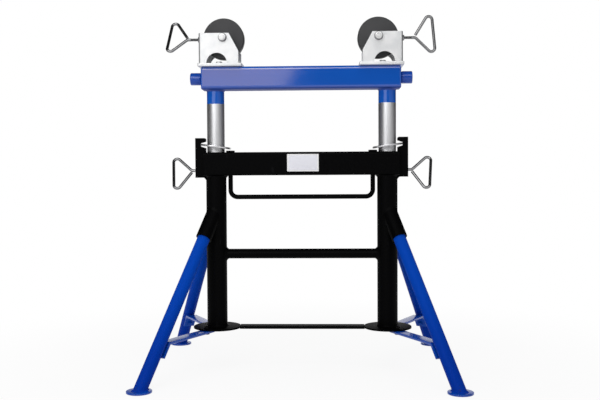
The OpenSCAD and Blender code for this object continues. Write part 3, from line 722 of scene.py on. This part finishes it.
def rod(path, radius, across, edge, steps=28):
    """Circles along the path, of which the first and last are drawn in by edge as a chamfer."""
    path, run = stepped_ends(path, edge)
    rounds = np.full((len(path), 1, 1), radius)
    rounds[[0, -1]] = radius - edge
    first = unit(across - dot(run, across) * run)[:, None]
    second = np.cross(run[:, None], first)
    angle = ring_angles(steps)[None, :, None]
    grid = path[:, None] + rounds * (np.cos(angle) * first + np.sin(angle) * second)
    return shell(grid, caps=True)


def in_plane(points):
    """Points given as X and Z in millimetres, on the plane Y = 0."""
    x, z = np.asarray(points, dtype=float).T * MM
    return np.stack([x, np.zeros_like(x), z], axis=1)


# %% [markdown]
# The release handle is one bar bent twice. Lifting it pushes its two collars against the
# friction plates and lets the head slide.

# %% Release handle
RELEASE_X = 246.4
RELEASE_TOP = 750.3
RELEASE_LOW = 589.5
HANDLE_BEND = 24.0 * MM
handle_corners = [(-RELEASE_X, RELEASE_TOP), (-RELEASE_X, RELEASE_LOW)]
handle_corners += [(RELEASE_X, RELEASE_LOW), (RELEASE_X, RELEASE_TOP)]
handle = rod(bent_path(in_plane(handle_corners), HANDLE_BEND), 8.0 * MM, Y_AXIS, 0.8 * MM)
piece("lift_handle", [handle], "release", BLACK, ["release_handle"])
collar = ring_profile(8.1 * MM, 15.0 * MM, 744.3 * MM, RELEASE_TOP * MM, 1.0 * MM)
collars = [lathe(*collar, side * RELEASE_X * MM * X_AXIS, Z_AXIS, X_AXIS, True) for side in SIDES]
piece("lift_collars", collars, "release", BLACK, ["release_collars"])
report("release")

# %% [markdown]
# A screw thread is a lathe whose radius also depends on the angle: the groove's phase grows
# by one pitch for each turn. The eye screws have such a stem, and then the rod bends into a
# triangular eye for a finger or a bar.

# %% Eye screws
def thread(base, axis, side, length, radius, pitch, steps=24):
    """Radius dips by a triangle wave of height over pitch minus angle over a turn, and tapers at
    the tip."""
    height = np.linspace(0.0, length, int(length / pitch * 8))
    phase = height[:, None] / pitch - ring_angles(steps)[None] / (2.0 * np.pi)
    groove = np.clip(2.6 * np.abs(phase % 1.0 - 0.5) - 0.2, 0.0, 1.0)
    depth = 0.55 * pitch
    taper = np.clip(1.0 - height / (1.4 * pitch), 0.0, 1.0)[:, None]
    return lathe(radius - depth * np.maximum(1.0 - groove, taper), height, base, axis, side)


EYE_NEAR = np.array([70.0, 68.0])
EYE_FAR = np.array([54.0, -96.0])
EYE_BEND = 12.0 * MM
ROD_R = 5.0
ROD_PITCH = 1.5 * MM
EYE_SCREWS = (
    ("brake", 339.8, 381.0, 393.0, AXLE_Z, -1.0, {-1: -30.0, 1: 0.0}),
    ("clamp", 331.55, 369.0, 381.3, CLAMP_Z, 1.0, {-1: -32.0, 1: -30.0}),
)
for kind, tip, plain, eye, level, up, turns in EYE_SCREWS:
    start = np.array([eye, 0.0])
    back = unit(np.array([-ROD_R, 0.0]) - EYE_FAR)
    stop = ROD_R * (1.0 + abs(back[0])) + 0.2
    end = start - np.array([ROD_R, 0.0]) - back * stop / back[1]
    corners = np.array([(plain - 1.0, 0.0), start, start + EYE_NEAR, start + EYE_FAR, end])
    path = bent_path(in_plane(corners * np.array([1.0, up])), EYE_BEND)
    for side in SIDES:
        turn = math.radians(turns[side])
        over = np.array([0.0, -math.sin(turn), math.cos(turn)])
        across = np.array([0.0, math.cos(turn), math.sin(turn)])
        turned_path = path[:, :1] * X_AXIS + path[:, 2:] * over + level * Z_AXIS
        tip_at = mid_plane(tip * MM, level)
        stem = thread(tip_at, X_AXIS, over, (plain - tip) * MM, ROD_R * MM, ROD_PITCH)
        loop = rod(turned_path, ROD_R * MM, across, 0.5 * MM)
        name = f"{SIDE_NAMES[side]}_{kind}"
        screw = [on_side(stem, side), on_side(loop, side)]
        piece(f"{name}_eye", screw, f"{name}_screw", ROD, [f"{name}_screw"])
report("eye screws")

# %% [markdown]
# A hexagon's side lies half its width across flats, divided by the cosine of the angle from
# the middle of that side, away from the axis. The chamfer of a bolt head is a cone, and the
# head is whichever of the two is smaller at each angle and height.

# %% Hexagons
def hexagon(across_flats, steps=96):
    """Distance from the axis to a hexagon's side at each angle."""
    return across_flats / 2.0 / np.cos(ring_angles(steps) % (np.pi / 3.0) - np.pi / 6.0)


def hex_rows(across_flats, height, both):
    """Radii and heights of a hexagon whose upper corners, or both, are cut by a cone."""
    rise = np.concatenate([np.linspace(0.0, 0.2, 6), np.linspace(0.8, 1.0, 6)]) * height
    from_end = height - rise
    if both:
        from_end = np.minimum(from_end, rise)
    cone = 0.475 * across_flats + 1.75 * from_end
    return np.minimum(hexagon(across_flats)[None], cone[:, None]), rise


def bolt(across_flats, head, shank_r, shank, base, axis, side):
    """A hexagon head on the base, and a threaded shank that runs back from it."""
    radius, height = hex_rows(across_flats, head, False)
    stem = thread(base - shank * axis, axis, side, shank, shank_r, shank_r * 0.28)
    return [lathe(radius, height, base, axis, side), stem]


def nut(across_flats, thick, bore, base, axis, side):
    """A hexagon ring, cut by a cone at both ends."""
    radius, height = hex_rows(across_flats, thick, True)
    hole = np.full((2, radius.shape[1]), bore)
    rows = np.concatenate([radius, hole]), np.concatenate([height, [thick, 0.0]])
    return lathe(*rows, base, axis, side, True)


def washer(radius, bore, thick, base, axis, side):
    """A flat ring with rounded rim."""
    return lathe(*ring_profile(bore, radius, 0.0, thick, thick * 0.3), base, axis, side, True)


# %% [markdown]
# The axle bolt holds the roller between the bracket's sides, two bolts under the arch hold
# each bracket to the beam, and a nut is welded where each brake screw passes its bracket.

# %% Bolts of the head
FORK_HALF_Y = 50.0 * MM
FORK_OUT_X = 347.0 * MM
AXLE_FLATS = 24.0 * MM
AXLE_WASHER = (15.0 * MM, 8.2 * MM, 2.2 * MM)
FOOT_FLATS = 18.0 * MM
FOOT_AT = (280.0 * MM, 25.0 * MM)
nuts = []
feet = []
brake_nuts = []
for side, name in SIDE_NAMES.items():
    axle = mid_plane(side * ROLLER_X, AXLE_Z)
    front = axle - FORK_HALF_Y * Y_AXIS
    rear = axle + FORK_HALF_Y * Y_AXIS
    parts = bolt(AXLE_FLATS, 10.2 * MM, 7.95 * MM, 114.8 * MM, rear, Y_AXIS, X_AXIS)
    parts.append(washer(*AXLE_WASHER, rear, Y_AXIS, X_AXIS))
    piece(f"{name}_axle", parts, "head", AXLE_ZINC, [f"{name}_axle_bolt"])
    nuts.append(nut(AXLE_FLATS, 12.8 * MM, 8.0 * MM, front, -Y_AXIS, X_AXIS))
    nuts.append(washer(*AXLE_WASHER, front, -Y_AXIS, X_AXIS))
    for y in SIDES:
        seat = np.array([side * FOOT_AT[0], y * FOOT_AT[1], BASE_TOP])
        feet += bolt(FOOT_FLATS, 7.6 * MM, 5.9 * MM, 30.0 * MM, seat, Z_AXIS, X_AXIS)
        feet.append(washer(12.0 * MM, 6.2 * MM, 2.0 * MM, seat, Z_AXIS, X_AXIS))
    seat = mid_plane(side * FORK_OUT_X, AXLE_Z)
    brake_nuts.append(nut(FOOT_FLATS, 8.0 * MM, 5.2 * MM, seat, side * X_AXIS, Y_AXIS))
piece("axle_lock_nuts", nuts, "head", AXLE_ZINC, ["axle_nuts"])
piece("bracket_foot_bolts", feet, "head", BOLT, ["bracket_bolts"])
piece("brake_weld_nuts", brake_nuts, "head", DULL_ZINC, ["brake_nuts"])
report("head bolts")

# %% [markdown]
# Legs are drawn in a frame of their own, with a radius out from the column, a distance across
# and a height. One function turns that into the frame's X, Y and Z for each of the four legs.

# %% The frame of a leg
LEG_AZIMUTH = math.radians(62.0)
LEG_MEET = 552.0 * MM
LEG_REACH = 415.0 * MM
LEG_TILT = math.atan2(LEG_REACH, LEG_MEET)
LEG_R = 21.2 * MM
FOOT_TOP = 6.0 * MM
DOWN_LEG, UPPER_SIDE = slant(LEG_TILT)
MEET = mid_plane(0.0, LEG_MEET)
ACROSS = Y_AXIS


def to_leg(made, side, end):
    """A shell from the leg's own frame to the column's side and end."""
    radius, across, height = made[0].T
    x = POST_X + radius * math.cos(LEG_AZIMUTH) - across * math.sin(LEG_AZIMUTH)
    y = radius * math.sin(LEG_AZIMUTH) + across * math.cos(LEG_AZIMUTH)
    return moved(made, np.stack([side * x, end * y, height], axis=1))


print("leg tilt", round(math.degrees(LEG_TILT), 2), "degrees")

# %% [markdown]
# Each foot is a steel disc, and a flat strap braces each leg against the base disc. The strap
# is a rounded rectangle carried along a path that is flat under the disc, bends, and then lies
# along the under side of the leg.

# %% Feet and braces
def rounded_outline(width, height, corner, steps=5):
    """Four quarter circles, one in each corner, walked round in turn."""
    turn = np.linspace(0.0, np.pi / 2.0, steps)
    angle = (np.arange(4)[:, None] * np.pi / 2.0 + turn).ravel()
    signs = np.repeat(np.array([(1, 1), (-1, 1), (-1, -1), (1, -1)]), steps, axis=0)
    centre = signs * np.array([width / 2.0 - corner, height / 2.0 - corner])
    return centre + corner * np.stack([np.cos(angle), np.sin(angle)], axis=1)


def strap(path, width, thick, corner, across):
    """A rounded rectangle carried along a path, drawn in a little at its two ends."""
    inset = 0.8 * MM
    path, run = stepped_ends(path, inset)
    up = unit(np.cross(across, run))
    outline = rounded_outline(width, thick, corner)
    grid = path[:, None] + outline[None, :, :1] * across + outline[None, :, 1:] * up[:, None]
    small = rounded_outline(width - 2.0 * inset, thick - 2.0 * inset, corner - 0.6 * inset)
    for row in (0, -1):
        grid[row] = path[row] + small[:, :1] * across + small[:, 1:] * up[row]
    return shell(grid, caps=True)


BRACE_Z = 130.0 * MM
BRACE_IN = 44.0 * MM
BRACE_TAB = 52.0 * MM
BRACE_BEND = 10.0 * MM
BRACE_SECTION = (40.0 * MM, 8.0 * MM, 1.6 * MM)
BRACE_OFF = LEG_R + 4.2 * MM
FOOT_R = 40.0 * MM
BEND_S = (LEG_MEET - BRACE_Z - BRACE_OFF * math.sin(LEG_TILT)) / math.cos(LEG_TILT)
bend_at = MEET + BEND_S * DOWN_LEG - BRACE_OFF * UPPER_SIDE
brace_corners = [mid_plane(BRACE_IN, BRACE_Z), bend_at, bend_at + BRACE_TAB * DOWN_LEG]
brace = strap(bent_path(brace_corners, BRACE_BEND), *BRACE_SECTION, ACROSS)
foot_profile = disc_profile(FOOT_R, 0.0, FOOT_TOP, 0.6 * MM, 1.4 * MM)
foot = lathe(*foot_profile, LEG_REACH * X_AXIS, Z_AXIS, X_AXIS)
for side, end, name in CORNERS:
    piece(f"{name}_strap", [to_leg(brace, side, end)], "stand", STRAP_BLUE, [f"{name}_brace"])
    piece(f"{name}_sole", [to_leg(foot, side, end)], "stand", STRAP_BLUE, [f"{name}_foot"])
report("feet and braces")

# %% [markdown]
# One bolt joins each strap to the base disc from below, and another joins it to the leg.

# %% Brace bolts
TAB_S = BEND_S + 34.0 * MM
DISC_BOLT_R = 62.0 * MM
STRAP_HEAD = (15.0 * MM, 6.4 * MM, 4.9 * MM)
STRAP_WASHER = (10.0 * MM, 5.1 * MM, 1.6 * MM)


def on_every_leg(parts):
    """The same parts on all four legs."""
    return [to_leg(part, side, end) for side, end, _ in CORNERS for part in parts]


inner_seat = mid_plane(DISC_BOLT_R, 126.0 * MM)
outer_seat = MEET + TAB_S * DOWN_LEG - (BRACE_OFF + 4.0 * MM) * UPPER_SIDE
nut_seat = mid_plane(DISC_BOLT_R, DISC_TOP)
heads = bolt(*STRAP_HEAD, 24.0 * MM, inner_seat, -Z_AXIS, X_AXIS)
heads += bolt(*STRAP_HEAD, 17.0 * MM, outer_seat, -UPPER_SIDE, ACROSS)
heads.append(washer(*STRAP_WASHER, inner_seat, -Z_AXIS, X_AXIS))
heads.append(washer(*STRAP_WASHER, outer_seat, -UPPER_SIDE, ACROSS))
strap_nuts = [nut(STRAP_HEAD[0], 8.0 * MM, 5.0 * MM, nut_seat, Z_AXIS, X_AXIS)]
strap_nuts.append(washer(*STRAP_WASHER, nut_seat, Z_AXIS, X_AXIS))
piece("strap_bolts", on_every_leg(heads), "stand", PAINTED_BOLT, ["brace_bolts"])
piece("strap_nuts", on_every_leg(strap_nuts), "stand", PAINTED_BOLT, ["brace_nuts"])
report("brace bolts")

# %% [markdown]
# Flat plates are an outline carried through their thickness, with the first and last rows
# drawn in along the outline's normals to round the edges. The beam's caps are welded and
# ground, so their outer edge is the roundest of all.

# %% Flat plates
def inward_of(outline):
    """The unit normal that points inside, at each point of a closed outline."""
    ahead = np.roll(outline, -1, axis=0) - np.roll(outline, 1, axis=0)
    return unit(np.stack([-ahead[:, 1], ahead[:, 0]], axis=1))


def plate_grid(outline, thick, edge_low, edge_high, steps=5):
    """Rows of the outline, moved inward by 1 minus the sine of the edge's angle and up by 1 minus
    its cosine, and the other way round at the upper edge."""
    turn = np.linspace(0.0, np.pi / 2.0, steps)
    inset = np.concatenate([edge_low * (1.0 - np.sin(turn)), edge_high * (1.0 - np.cos(turn))])
    rise = np.concatenate([edge_low * (1.0 - np.cos(turn)), thick - edge_high * (1.0 - np.sin(turn))])
    flat = outline[None] + inset[:, None, None] * inward_of(outline)[None]
    return np.concatenate([flat, np.broadcast_to(rise[:, None, None], flat.shape[:2] + (1,))], axis=2)


BEAM_CORNER = 11.5 * MM
SEAT_X = 275.5 * MM
SEAT_OUTLINE = (151.0 * MM, 108.0 * MM, 4.0 * MM)
section = rounded_outline(*BEAM_SECTION, BEAM_CORNER, 13)
beam_x = np.array([-1.0, -0.995, 0.995, 1.0]) * (BEAM_HALF - CAP_THICK)
beam_grid = grid_of(beam_x[:, None], section[None, :, 0], BEAM_MID + section[None, :, 1])
piece("head_beam", [shell(beam_grid, caps=True)], "head", BLUE, ["beam"])
cap_y, cap_z, cap_out = np.moveaxis(plate_grid(section, CAP_THICK, 0.2 * MM, 5.0 * MM), -1, 0)
cap = shell(grid_of(BEAM_HALF - CAP_THICK + cap_out, cap_y, BEAM_MID + cap_z), caps=True)
caps = [on_side(cap, side) for side in SIDES]
piece("beam_caps", caps, "head", BLUE, ["beam_end_caps"])
seat_grid = plate_grid(rounded_outline(*SEAT_OUTLINE), 10.0 * MM, 0.6 * MM, 1.2 * MM)
seat_plate = shell(seat_grid + mid_plane(SEAT_X, BEAM_TOP), caps=True)
for side, name in SIDE_NAMES.items():
    piece(f"{name}_seat_plate", [on_side(seat_plate, side)], "head", ZINC, [f"{name}_bracket_base"])
plate_outline = rounded_outline(2.0 * PLATE_HALF[0], 2.0 * PLATE_HALF[1], 2.0 * MM)
plate_x, plate_z, plate_out = np.moveaxis(plate_grid(plate_outline, 0.8 * MM, 0.1 * MM, 0.3 * MM), -1, 0)
plate_points = grid_of(PLATE_X + plate_x, -CROSS_HALF_Y - plate_out, PLATE_Z + plate_z)
piece("bare_plate", [shell(plate_points, caps=True)], "stand", PLATE)
report("plates")

# %% [markdown]
# The friction plate is the clever part of the stand: a flat plate with a hole a little larger
# than the tube, hung at a slant. Load from above tips it further and its hole bites the tube.
# Outline and hole have the same number of points, each pair on one ray from the hole's centre,
# so rows can run from the outer edge over the top, down the hole and back under.

# %% Friction plates
LOCK_TILT = math.radians(7.7)
LOCK_PIVOT = mid_plane(346.0 * MM, 771.0 * MM)
LOCK_DOWN, LOCK_ALONG = slant(LOCK_TILT)
HOLE_R = 31.15 * MM
HOLE_U = -50.15 * MM
HALF_T = 3.0 * MM
LOCK_R = 54.0 * MM
LOCK_BACK = -100.5 * MM


def ring_grid(outline, centre, bore, half, edge):
    """Rows up the rim of a plate, then down its hole, whose points lie on the rim's own rays."""
    rim = plate_grid(outline, 2.0 * half, edge, edge, 4) - half * Z_AXIS
    ray = unit(outline - centre)
    hole = centre + ray * bore
    lip = hole + 0.5 * edge * ray
    inside = np.stack([lip, hole, hole, lip])
    level = np.array([half, half - 0.5 * edge, 0.5 * edge - half, -half])
    return np.concatenate([rim, grid_of(inside[..., 0], inside[..., 1], level[:, None])])


angle = ring_angles(288)
lock_u = np.clip(HOLE_U + LOCK_R * np.cos(angle), LOCK_BACK, HALF_T)
lock_outline = np.stack([lock_u, LOCK_R * np.sin(angle)], axis=1)
ring = ring_grid(lock_outline, np.array([HOLE_U, 0.0]), HOLE_R, HALF_T, 0.9 * MM)
along, across, up = (ring[..., part:part + 1] for part in range(3))
nose = np.sqrt(np.clip(1.0 - (np.clip(along, 0.0, None) / HALF_T) ** 2, 0.04, 1.0))
lock_grid = LOCK_PIVOT + along * LOCK_ALONG + across * Y_AXIS - up * nose * LOCK_DOWN
lock = shell(lock_grid, loop_rows=True)
for side, name in SIDE_NAMES.items():
    plate = [on_side(lock, side)]
    piece(f"{name}_friction_plate", plate, f"{name}_lock", LOCK_ZINC, [f"{name}_lock_plate"])
report("friction plates")

# %% [markdown]
# The roller bracket is folded from one sheet: a side, a fold, a back, a fold and another side.
# So it is a sheet here too. One parameter runs along the folded plan and the other from the
# lower to the upper edge, which follow the arch and the sloped corner. Solidify gives it the
# plate's thickness and Bevel breaks its cut edges.

# %% Roller brackets
FOLD_R = 9.0
FOLD_X = 338.0
FOLD_Y = 41.0
ARCH_X = 285.5
ARCH_R = 35.0
FLANK_END_X = 330.0
SLOPE_X = (211.0, 244.0)
SLOPE_Z = (41.0, 102.0)


def bracket_sheet():
    """Plan points along the fold in millimetres, and a row of heights from the lower edge, which
    is the arch's circle or the base, to the upper edge, which is a slope cut off at both ends."""
    arch = ARCH_X - ARCH_R * np.cos(np.linspace(0.0, np.pi, 33))
    flank = np.concatenate([np.linspace(*SLOPE_X, 4), arch, [FLANK_END_X]])
    turn = np.linspace(0.0, np.pi / 2.0, 9)
    half_x = np.concatenate([flank, FOLD_X + FOLD_R * np.sin(turn)])
    half_y = np.concatenate([np.full(len(flank), -FOLD_Y - FOLD_R), -FOLD_Y - FOLD_R * np.cos(turn)])
    back_y = np.linspace(-FOLD_Y, FOLD_Y, 9)[1:-1]
    x = np.concatenate([half_x, np.full(len(back_y), FOLD_X + FOLD_R), half_x[::-1]])
    y = np.concatenate([half_y, back_y, -half_y[::-1]])
    low = np.sqrt(np.clip(ARCH_R**2 - (x - ARCH_X) ** 2, 0.0, None))
    steepness = (SLOPE_Z[1] - SLOPE_Z[0]) / (SLOPE_X[1] - SLOPE_X[0])
    high = np.clip(SLOPE_Z[0] + (x - SLOPE_X[0]) * steepness, *SLOPE_Z)
    z = low + np.linspace(0.0, 1.0, 9)[:, None] * (high - low)
    return grid_of(x * MM, y * MM, BASE_TOP + z * MM)


def break_edges(made, width, steps, angle):
    """Rounds every edge that is sharper than the angle, and keeps the flats flat in the shading."""
    bevel = made.modifiers.new("broken_edges", "BEVEL")
    bevel.width = width
    bevel.segments = steps
    bevel.limit_method = "ANGLE"
    bevel.angle_limit = math.radians(angle)
    bevel.harden_normals = True


FORK_THICK = 6.0 * MM
sheet = bracket_sheet()
sheet_quads = grid_quads(*sheet.shape[:2], False, False)
for side, name in SIDE_NAMES.items():
    points = sheet.reshape(-1, 3) * np.array([side, 1.0, 1.0])
    mesh = smooth_mesh(f"{name}_fork", points.tolist(), sheet_quads[:, ::side].tolist())
    fork = bpy.data.objects.new(f"{name}_fork", mesh)
    place(fork, "head", FORK_ZINC, [f"{name}_roller_bracket"])
    wall = fork.modifiers.new("plate_thickness", "SOLIDIFY")
    wall.thickness = FORK_THICK
    wall.offset = -1.0
    wall.use_even_offset = True
    break_edges(fork, 0.8 * MM, 2, 40)
report("roller brackets")

# %% [markdown]
# The hook brackets hold the friction plates' outer ends. Their CAD shape is right, so a copy
# of it is merged and only its cut edges are broken.

# %% Hook brackets
def broken_copy(node, name, body, finish, width):
    """A merged copy of a CAD node, flat faces joined, with its edges broken."""
    mesh = nodes[node].data.copy()
    work = bmesh.new()
    work.from_mesh(mesh)
    bmesh.ops.remove_doubles(work, verts=work.verts, dist=1e-6)
    bmesh.ops.dissolve_limit(work, angle_limit=math.radians(0.5), verts=work.verts, edges=work.edges)
    work.to_mesh(mesh)
    work.free()
    if "custom_normal" in mesh.attributes:
        mesh.attributes.remove(mesh.attributes["custom_normal"])
    shade_smooth(mesh)
    made = place(bpy.data.objects.new(name, mesh), body, finish, [node])
    break_edges(made, width, 2, 35)


for name in SIDE_NAMES.values():
    broken_copy(f"{name}_hook_bracket", f"{name}_hook", "stand", BLACK, 0.8 * MM)
report("hook brackets")

# %% [markdown]
# Welds hold the frame together, and a weld is a fillet: a strip that runs along the line where
# two surfaces meet. At each point of that line the strip spans from one surface to the other.
# Both directions follow from the line's own direction and the two surfaces' normals, so one
# function makes every weld here, round a tube, on a slanted saddle or along a straight edge.
# A ripple along the line is the mark of the welder's hand.

# %% Welds
RIPPLE = 4.2 * MM
WANDER = 23.0 * MM


def weld(line, normal_a, normal_b, leg, loop=True):
    """Point = line + leg times a hollow mix of the directions along surface a and surface b.
    Each normal, and the leg, is one value for the whole line or one for each of its points."""
    normal_a, normal_b = (np.broadcast_to(normal, line.shape) for normal in (normal_a, normal_b))
    leg = np.broadcast_to(leg, len(line))
    run = np.roll(line, -1, axis=0) - np.roll(line, 1, axis=0) if loop else np.gradient(line, axis=0)
    along_a = np.cross(unit(run), normal_a)
    along_a = unit(along_a * np.sign(dot(along_a, normal_b)))
    along_b = np.cross(unit(run), normal_b)
    along_b = unit(along_b * np.sign(dot(along_b, normal_a)))
    length = np.concatenate([[0.0], np.cumsum(np.linalg.norm(np.diff(line, axis=0), axis=1))])
    ripple = 1.0 + 0.06 * np.abs(np.sin(np.pi * length / RIPPLE)) + 0.05 * np.sin(length / WANDER)
    size = (leg * ripple)[:, None, None]
    share = np.linspace(0.0, 1.0, 7)[None, :, None]
    hollow = (1.0 - share) ** 1.35 * along_a[:, None] + share**1.35 * along_b[:, None]
    root = line - 0.25 * leg[:, None] * unit(normal_a + normal_b)
    strip = np.concatenate([line[:, None] + size * hollow, root[:, None]], axis=1)
    return shell(strip, loop_rows=loop, caps=not loop)


def round_weld(radius, base, axis, side, leg, steps=320):
    """A weld round a bar that stands square on a flat face."""
    angle = ring_angles(steps)[:, None]
    spoke = np.cos(angle) * side + np.sin(angle) * np.cross(axis, side)
    return weld(base + radius * spoke, spoke, axis, leg)


def saddle_weld(radius, tilt, leg, steps=420):
    """A weld where a slanted tube meets the column: the tube's generator at each angle is followed to
    the point whose distance from the column's axis is the column's radius."""
    angle = ring_angles(steps)[:, None]
    down, upper = slant(tilt)
    spoke = np.cos(angle) * upper + np.sin(angle) * Y_AXIS
    reach = np.sqrt(POST_R**2 - (radius * np.sin(angle)) ** 2)
    run = (reach - radius * np.cos(angle) * math.cos(tilt)) / math.sin(tilt)
    line = run * down + radius * spoke
    outside = unit(line * np.array([1.0, 1.0, 0.0]))
    return weld(line, spoke, outside, leg)


def shift(made, offset):
    """The same shell somewhere else."""
    return moved(made, made[0] + offset)


SOCKET_R = 27.2 * MM
SEAM_LOW, SEAM_TOP = 666.0 * MM, 742.0 * MM
socket_weld = shift(saddle_weld(SOCKET_R, LEG_TILT, 5.0 * MM), MEET)
rail_weld = saddle_weld(RAIL_R, math.pi / 2.0, 7.5 * MM)
angle = ring_angles(320)[:, None]
spoke = np.cos(angle) * X_AXIS + np.sin(angle) * Y_AXIS
height = np.linspace(SEAM_LOW, SEAM_TOP, 160)[:, None]
depth = np.linspace(-HOOK_HALF_Y, HOOK_HALF_Y, 40)[:, None]
collar_leg = 3.0 * MM + 6.0 * MM * np.cos(angle[:, 0]) ** 2
black_welds = on_every_leg([socket_weld])
blue_welds = []
for side in SIDES:
    column = mid_plane(side * POST_X, 0.0)
    out = side * X_AXIS
    black_welds.append(round_weld(POST_R, column + DISC_TOP * Z_AXIS, Z_AXIS, X_AXIS, 5.5 * MM))
    black_welds.append(shift(on_side(rail_weld, -side), column + RAIL_Z * Z_AXIS))
    blue_welds.append(round_weld(TUBE_R, column + BEAM_LOW * Z_AXIS, -Z_AXIS, X_AXIS, 5.5 * MM))
    collar_line = column + CROSS_LOW * Z_AXIS + POST_R * spoke
    black_welds.append(weld(collar_line, spoke, -Z_AXIS, collar_leg))
    for y in SIDES:
        seam = CROSS_HALF_X * out + y * HOOK_HALF_Y * Y_AXIS + height * Z_AXIS
        black_welds.append(weld(seam, y * Y_AXIS, out, 4.5 * MM, loop=False))
    hook_foot = HOOK_IN * out + depth * Y_AXIS + HOOK_LOW * Z_AXIS
    black_welds.append(weld(hook_foot, -Z_AXIS, out, 7.0 * MM, loop=False))
piece("frame_welds", black_welds, "stand", BLACK, smooth=50)
piece("head_welds", blue_welds, "head", BLUE, smooth=50)

spoke = np.cos(angle) * UPPER_SIDE + np.sin(angle) * ACROSS
run = (LEG_MEET - FOOT_TOP + LEG_R * np.cos(angle) * math.sin(LEG_TILT)) / math.cos(LEG_TILT)
foot_line = MEET + run * DOWN_LEG + LEG_R * spoke
foot_weld = weld(foot_line, spoke, Z_AXIS, 4.5 * MM)
piece("foot_welds", on_every_leg([foot_weld]), "stand", LEG_BLUE, smooth=50)
report("welds")

# %% [markdown]
# A plain pale floor carries the stand. For the camera and for reflections it is mostly its
# own white, and the rest of it takes the light, so that the stand keeps a soft shadow.

# %% Floor
scene = bpy.context.scene
FLOOR_HALF = 9.0
span = np.linspace(-FLOOR_HALF, FLOOR_HALF, 3)
across, deep = np.meshgrid(span, span)
grid = np.stack([across, deep, np.zeros_like(across)], axis=-1)
floor_mesh = smooth_mesh("floor", grid.reshape(-1, 3).tolist(), grid_quads(3, 3, False, False).tolist())
floor = bpy.data.objects.new("floor", floor_mesh)
scene.collection.objects.link(floor)


def ray(field, kind):
    """1 for rays of this kind, and 0 for the rest."""
    return field.node("ShaderNodeLightPath", out=f"Is {kind} Ray")


def seen_through(field):
    """1 for rays from the camera, straight or through glass, and 0 for the rest."""
    return field.math("MAXIMUM", ray(field, "Camera"), ray(field, "Transmission"))


def seen_directly(field):
    """1 for rays from the camera, through glass or from a reflection, and 0 for the rest."""
    return field.math("MAXIMUM", seen_through(field), ray(field, "Glossy"))


material, where = new_finish("pale_floor")
across, deep, _ = where.axes()
from_stand = (across * across + deep * deep) ** 0.5
diffuse = where.node("ShaderNodeBsdfDiffuse", None, {"Color": colour(0.86, 0.86, 0.86)})
glow = where.node("ShaderNodeEmission", None, {"Color": colour(1.0, 1.0, 1.0), "Strength": 1.0})
own_white = 0.90 + 0.10 * from_stand.step(0.5, 1.7)
share = seen_directly(where) * own_white
white = where.node("ShaderNodeMixShader", None, {0: share, 1: diffuse, 2: glow})
where.node("ShaderNodeOutputMaterial", None, {"Surface": white})
floor_mesh.materials.append(material)
print("floor", 2 * FLOOR_HALF, "m square")

# %% [markdown]
# The studio: one large soft light at the front left, one overhead, and an even fill. The
# camera sees pure white behind the stand. Reflections see a white backdrop straight behind, a
# grey wall to the right, a bright strip high in front and a dim card low in front. Elsewhere
# they see darkness, as in a studio with black flags, because bright metal only reads as metal
# where it has something dark to mirror.

# %% Light
world = bpy.data.worlds.new("studio")
scene.world = world
world.use_nodes = True
world.node_tree.nodes.clear()
sky = Field(world.node_tree)
toward_x, toward_y, toward_z = sky.node("ShaderNodeTexCoord", out="Generated").axes()
around = toward_x.math("ARCTAN2", toward_x, 0.0 - toward_y)
backdrop = abs(around).step(2.78, 2.95) * (1.0 - toward_z.step(0.2, 0.45))
right_wall = around.step(0.25, 0.5) * (1.0 - around.step(1.25, 1.7))
right_wall = right_wall * (1.0 - abs(toward_z).step(0.35, 0.6))
high_strip = toward_z.step(0.28, 0.34) * (1.0 - toward_z.step(0.70, 0.80))
high_strip = high_strip * (1.0 - abs(around).step(0.5, 0.9))
low_card = around.step(-0.2, -0.05) * (1.0 - around.step(0.3, 0.5))
low_card = low_card * (1.0 - toward_z.step(0.015, 0.055))
mirrored = 0.03 + 0.96 * backdrop + 0.42 * right_wall + 2.7 * high_strip + 0.25 * low_card
FILL = 0.45
through = seen_through(sky)
glossy = ray(sky, "Glossy")
strength = through + (1.0 - through) * (glossy * mirrored + (1.0 - glossy) * FILL)
white = colour(1.0, 1.0, 1.0)
background = sky.node("ShaderNodeBackground", None, {"Color": white, "Strength": strength})
sky.node("ShaderNodeOutputWorld", None, {"Surface": background})


def soft_box(name, at, aim, width, height, radiance):
    """A rectangular lamp that faces a point. Its power is four times its area times its radiance."""
    lamp = bpy.data.lights.new(name, "AREA")
    lamp.shape = "RECTANGLE"
    lamp.size = width
    lamp.size_y = height
    lamp.energy = 4.0 * width * height * radiance
    made = bpy.data.objects.new(name, lamp)
    made.location = at
    from_aim = unit(np.asarray(at, dtype=float) - np.asarray(aim, dtype=float))
    made.rotation_mode = "QUATERNION"
    made.rotation_quaternion = Vector(from_aim).to_track_quat("Z", "Y")
    made.visible_camera = False
    scene.collection.objects.link(made)
    return made


FRONT_LEFT = (-1.15, -2.60, 1.95)
OVERHEAD = (0.0, -0.4, 3.3)
soft_box("front_left_softbox", FRONT_LEFT, aim=(0.0, 0.0, 1.05), width=2.3, height=2.2, radiance=1.40)
overhead = soft_box("overhead_softbox", OVERHEAD, aim=(0.0, 0.0, 0.6), width=2.6, height=2.2, radiance=1.1)
overhead.visible_glossy = False

# %% [markdown]
# The photograph was taken from straight in front, a little above the middle of the stand.

# %% Camera
view = bpy.data.cameras.new("front_camera")
view.sensor_width = 36.0
view.lens = 50.15
camera = bpy.data.objects.new("front_camera", view)
camera.location = (0.0936, -2.8958, 0.6725)
VIEW_DOWN, VIEW_ROLL, VIEW_LEFT = 1.871, 0.317, 1.952
camera.rotation_euler = np.radians([90.0 - VIEW_DOWN, VIEW_ROLL, VIEW_LEFT])
scene.collection.objects.link(camera)
scene.camera = camera
scene.view_settings.view_transform = "Standard"
print("camera at", tuple(round(v, 3) for v in camera.location))
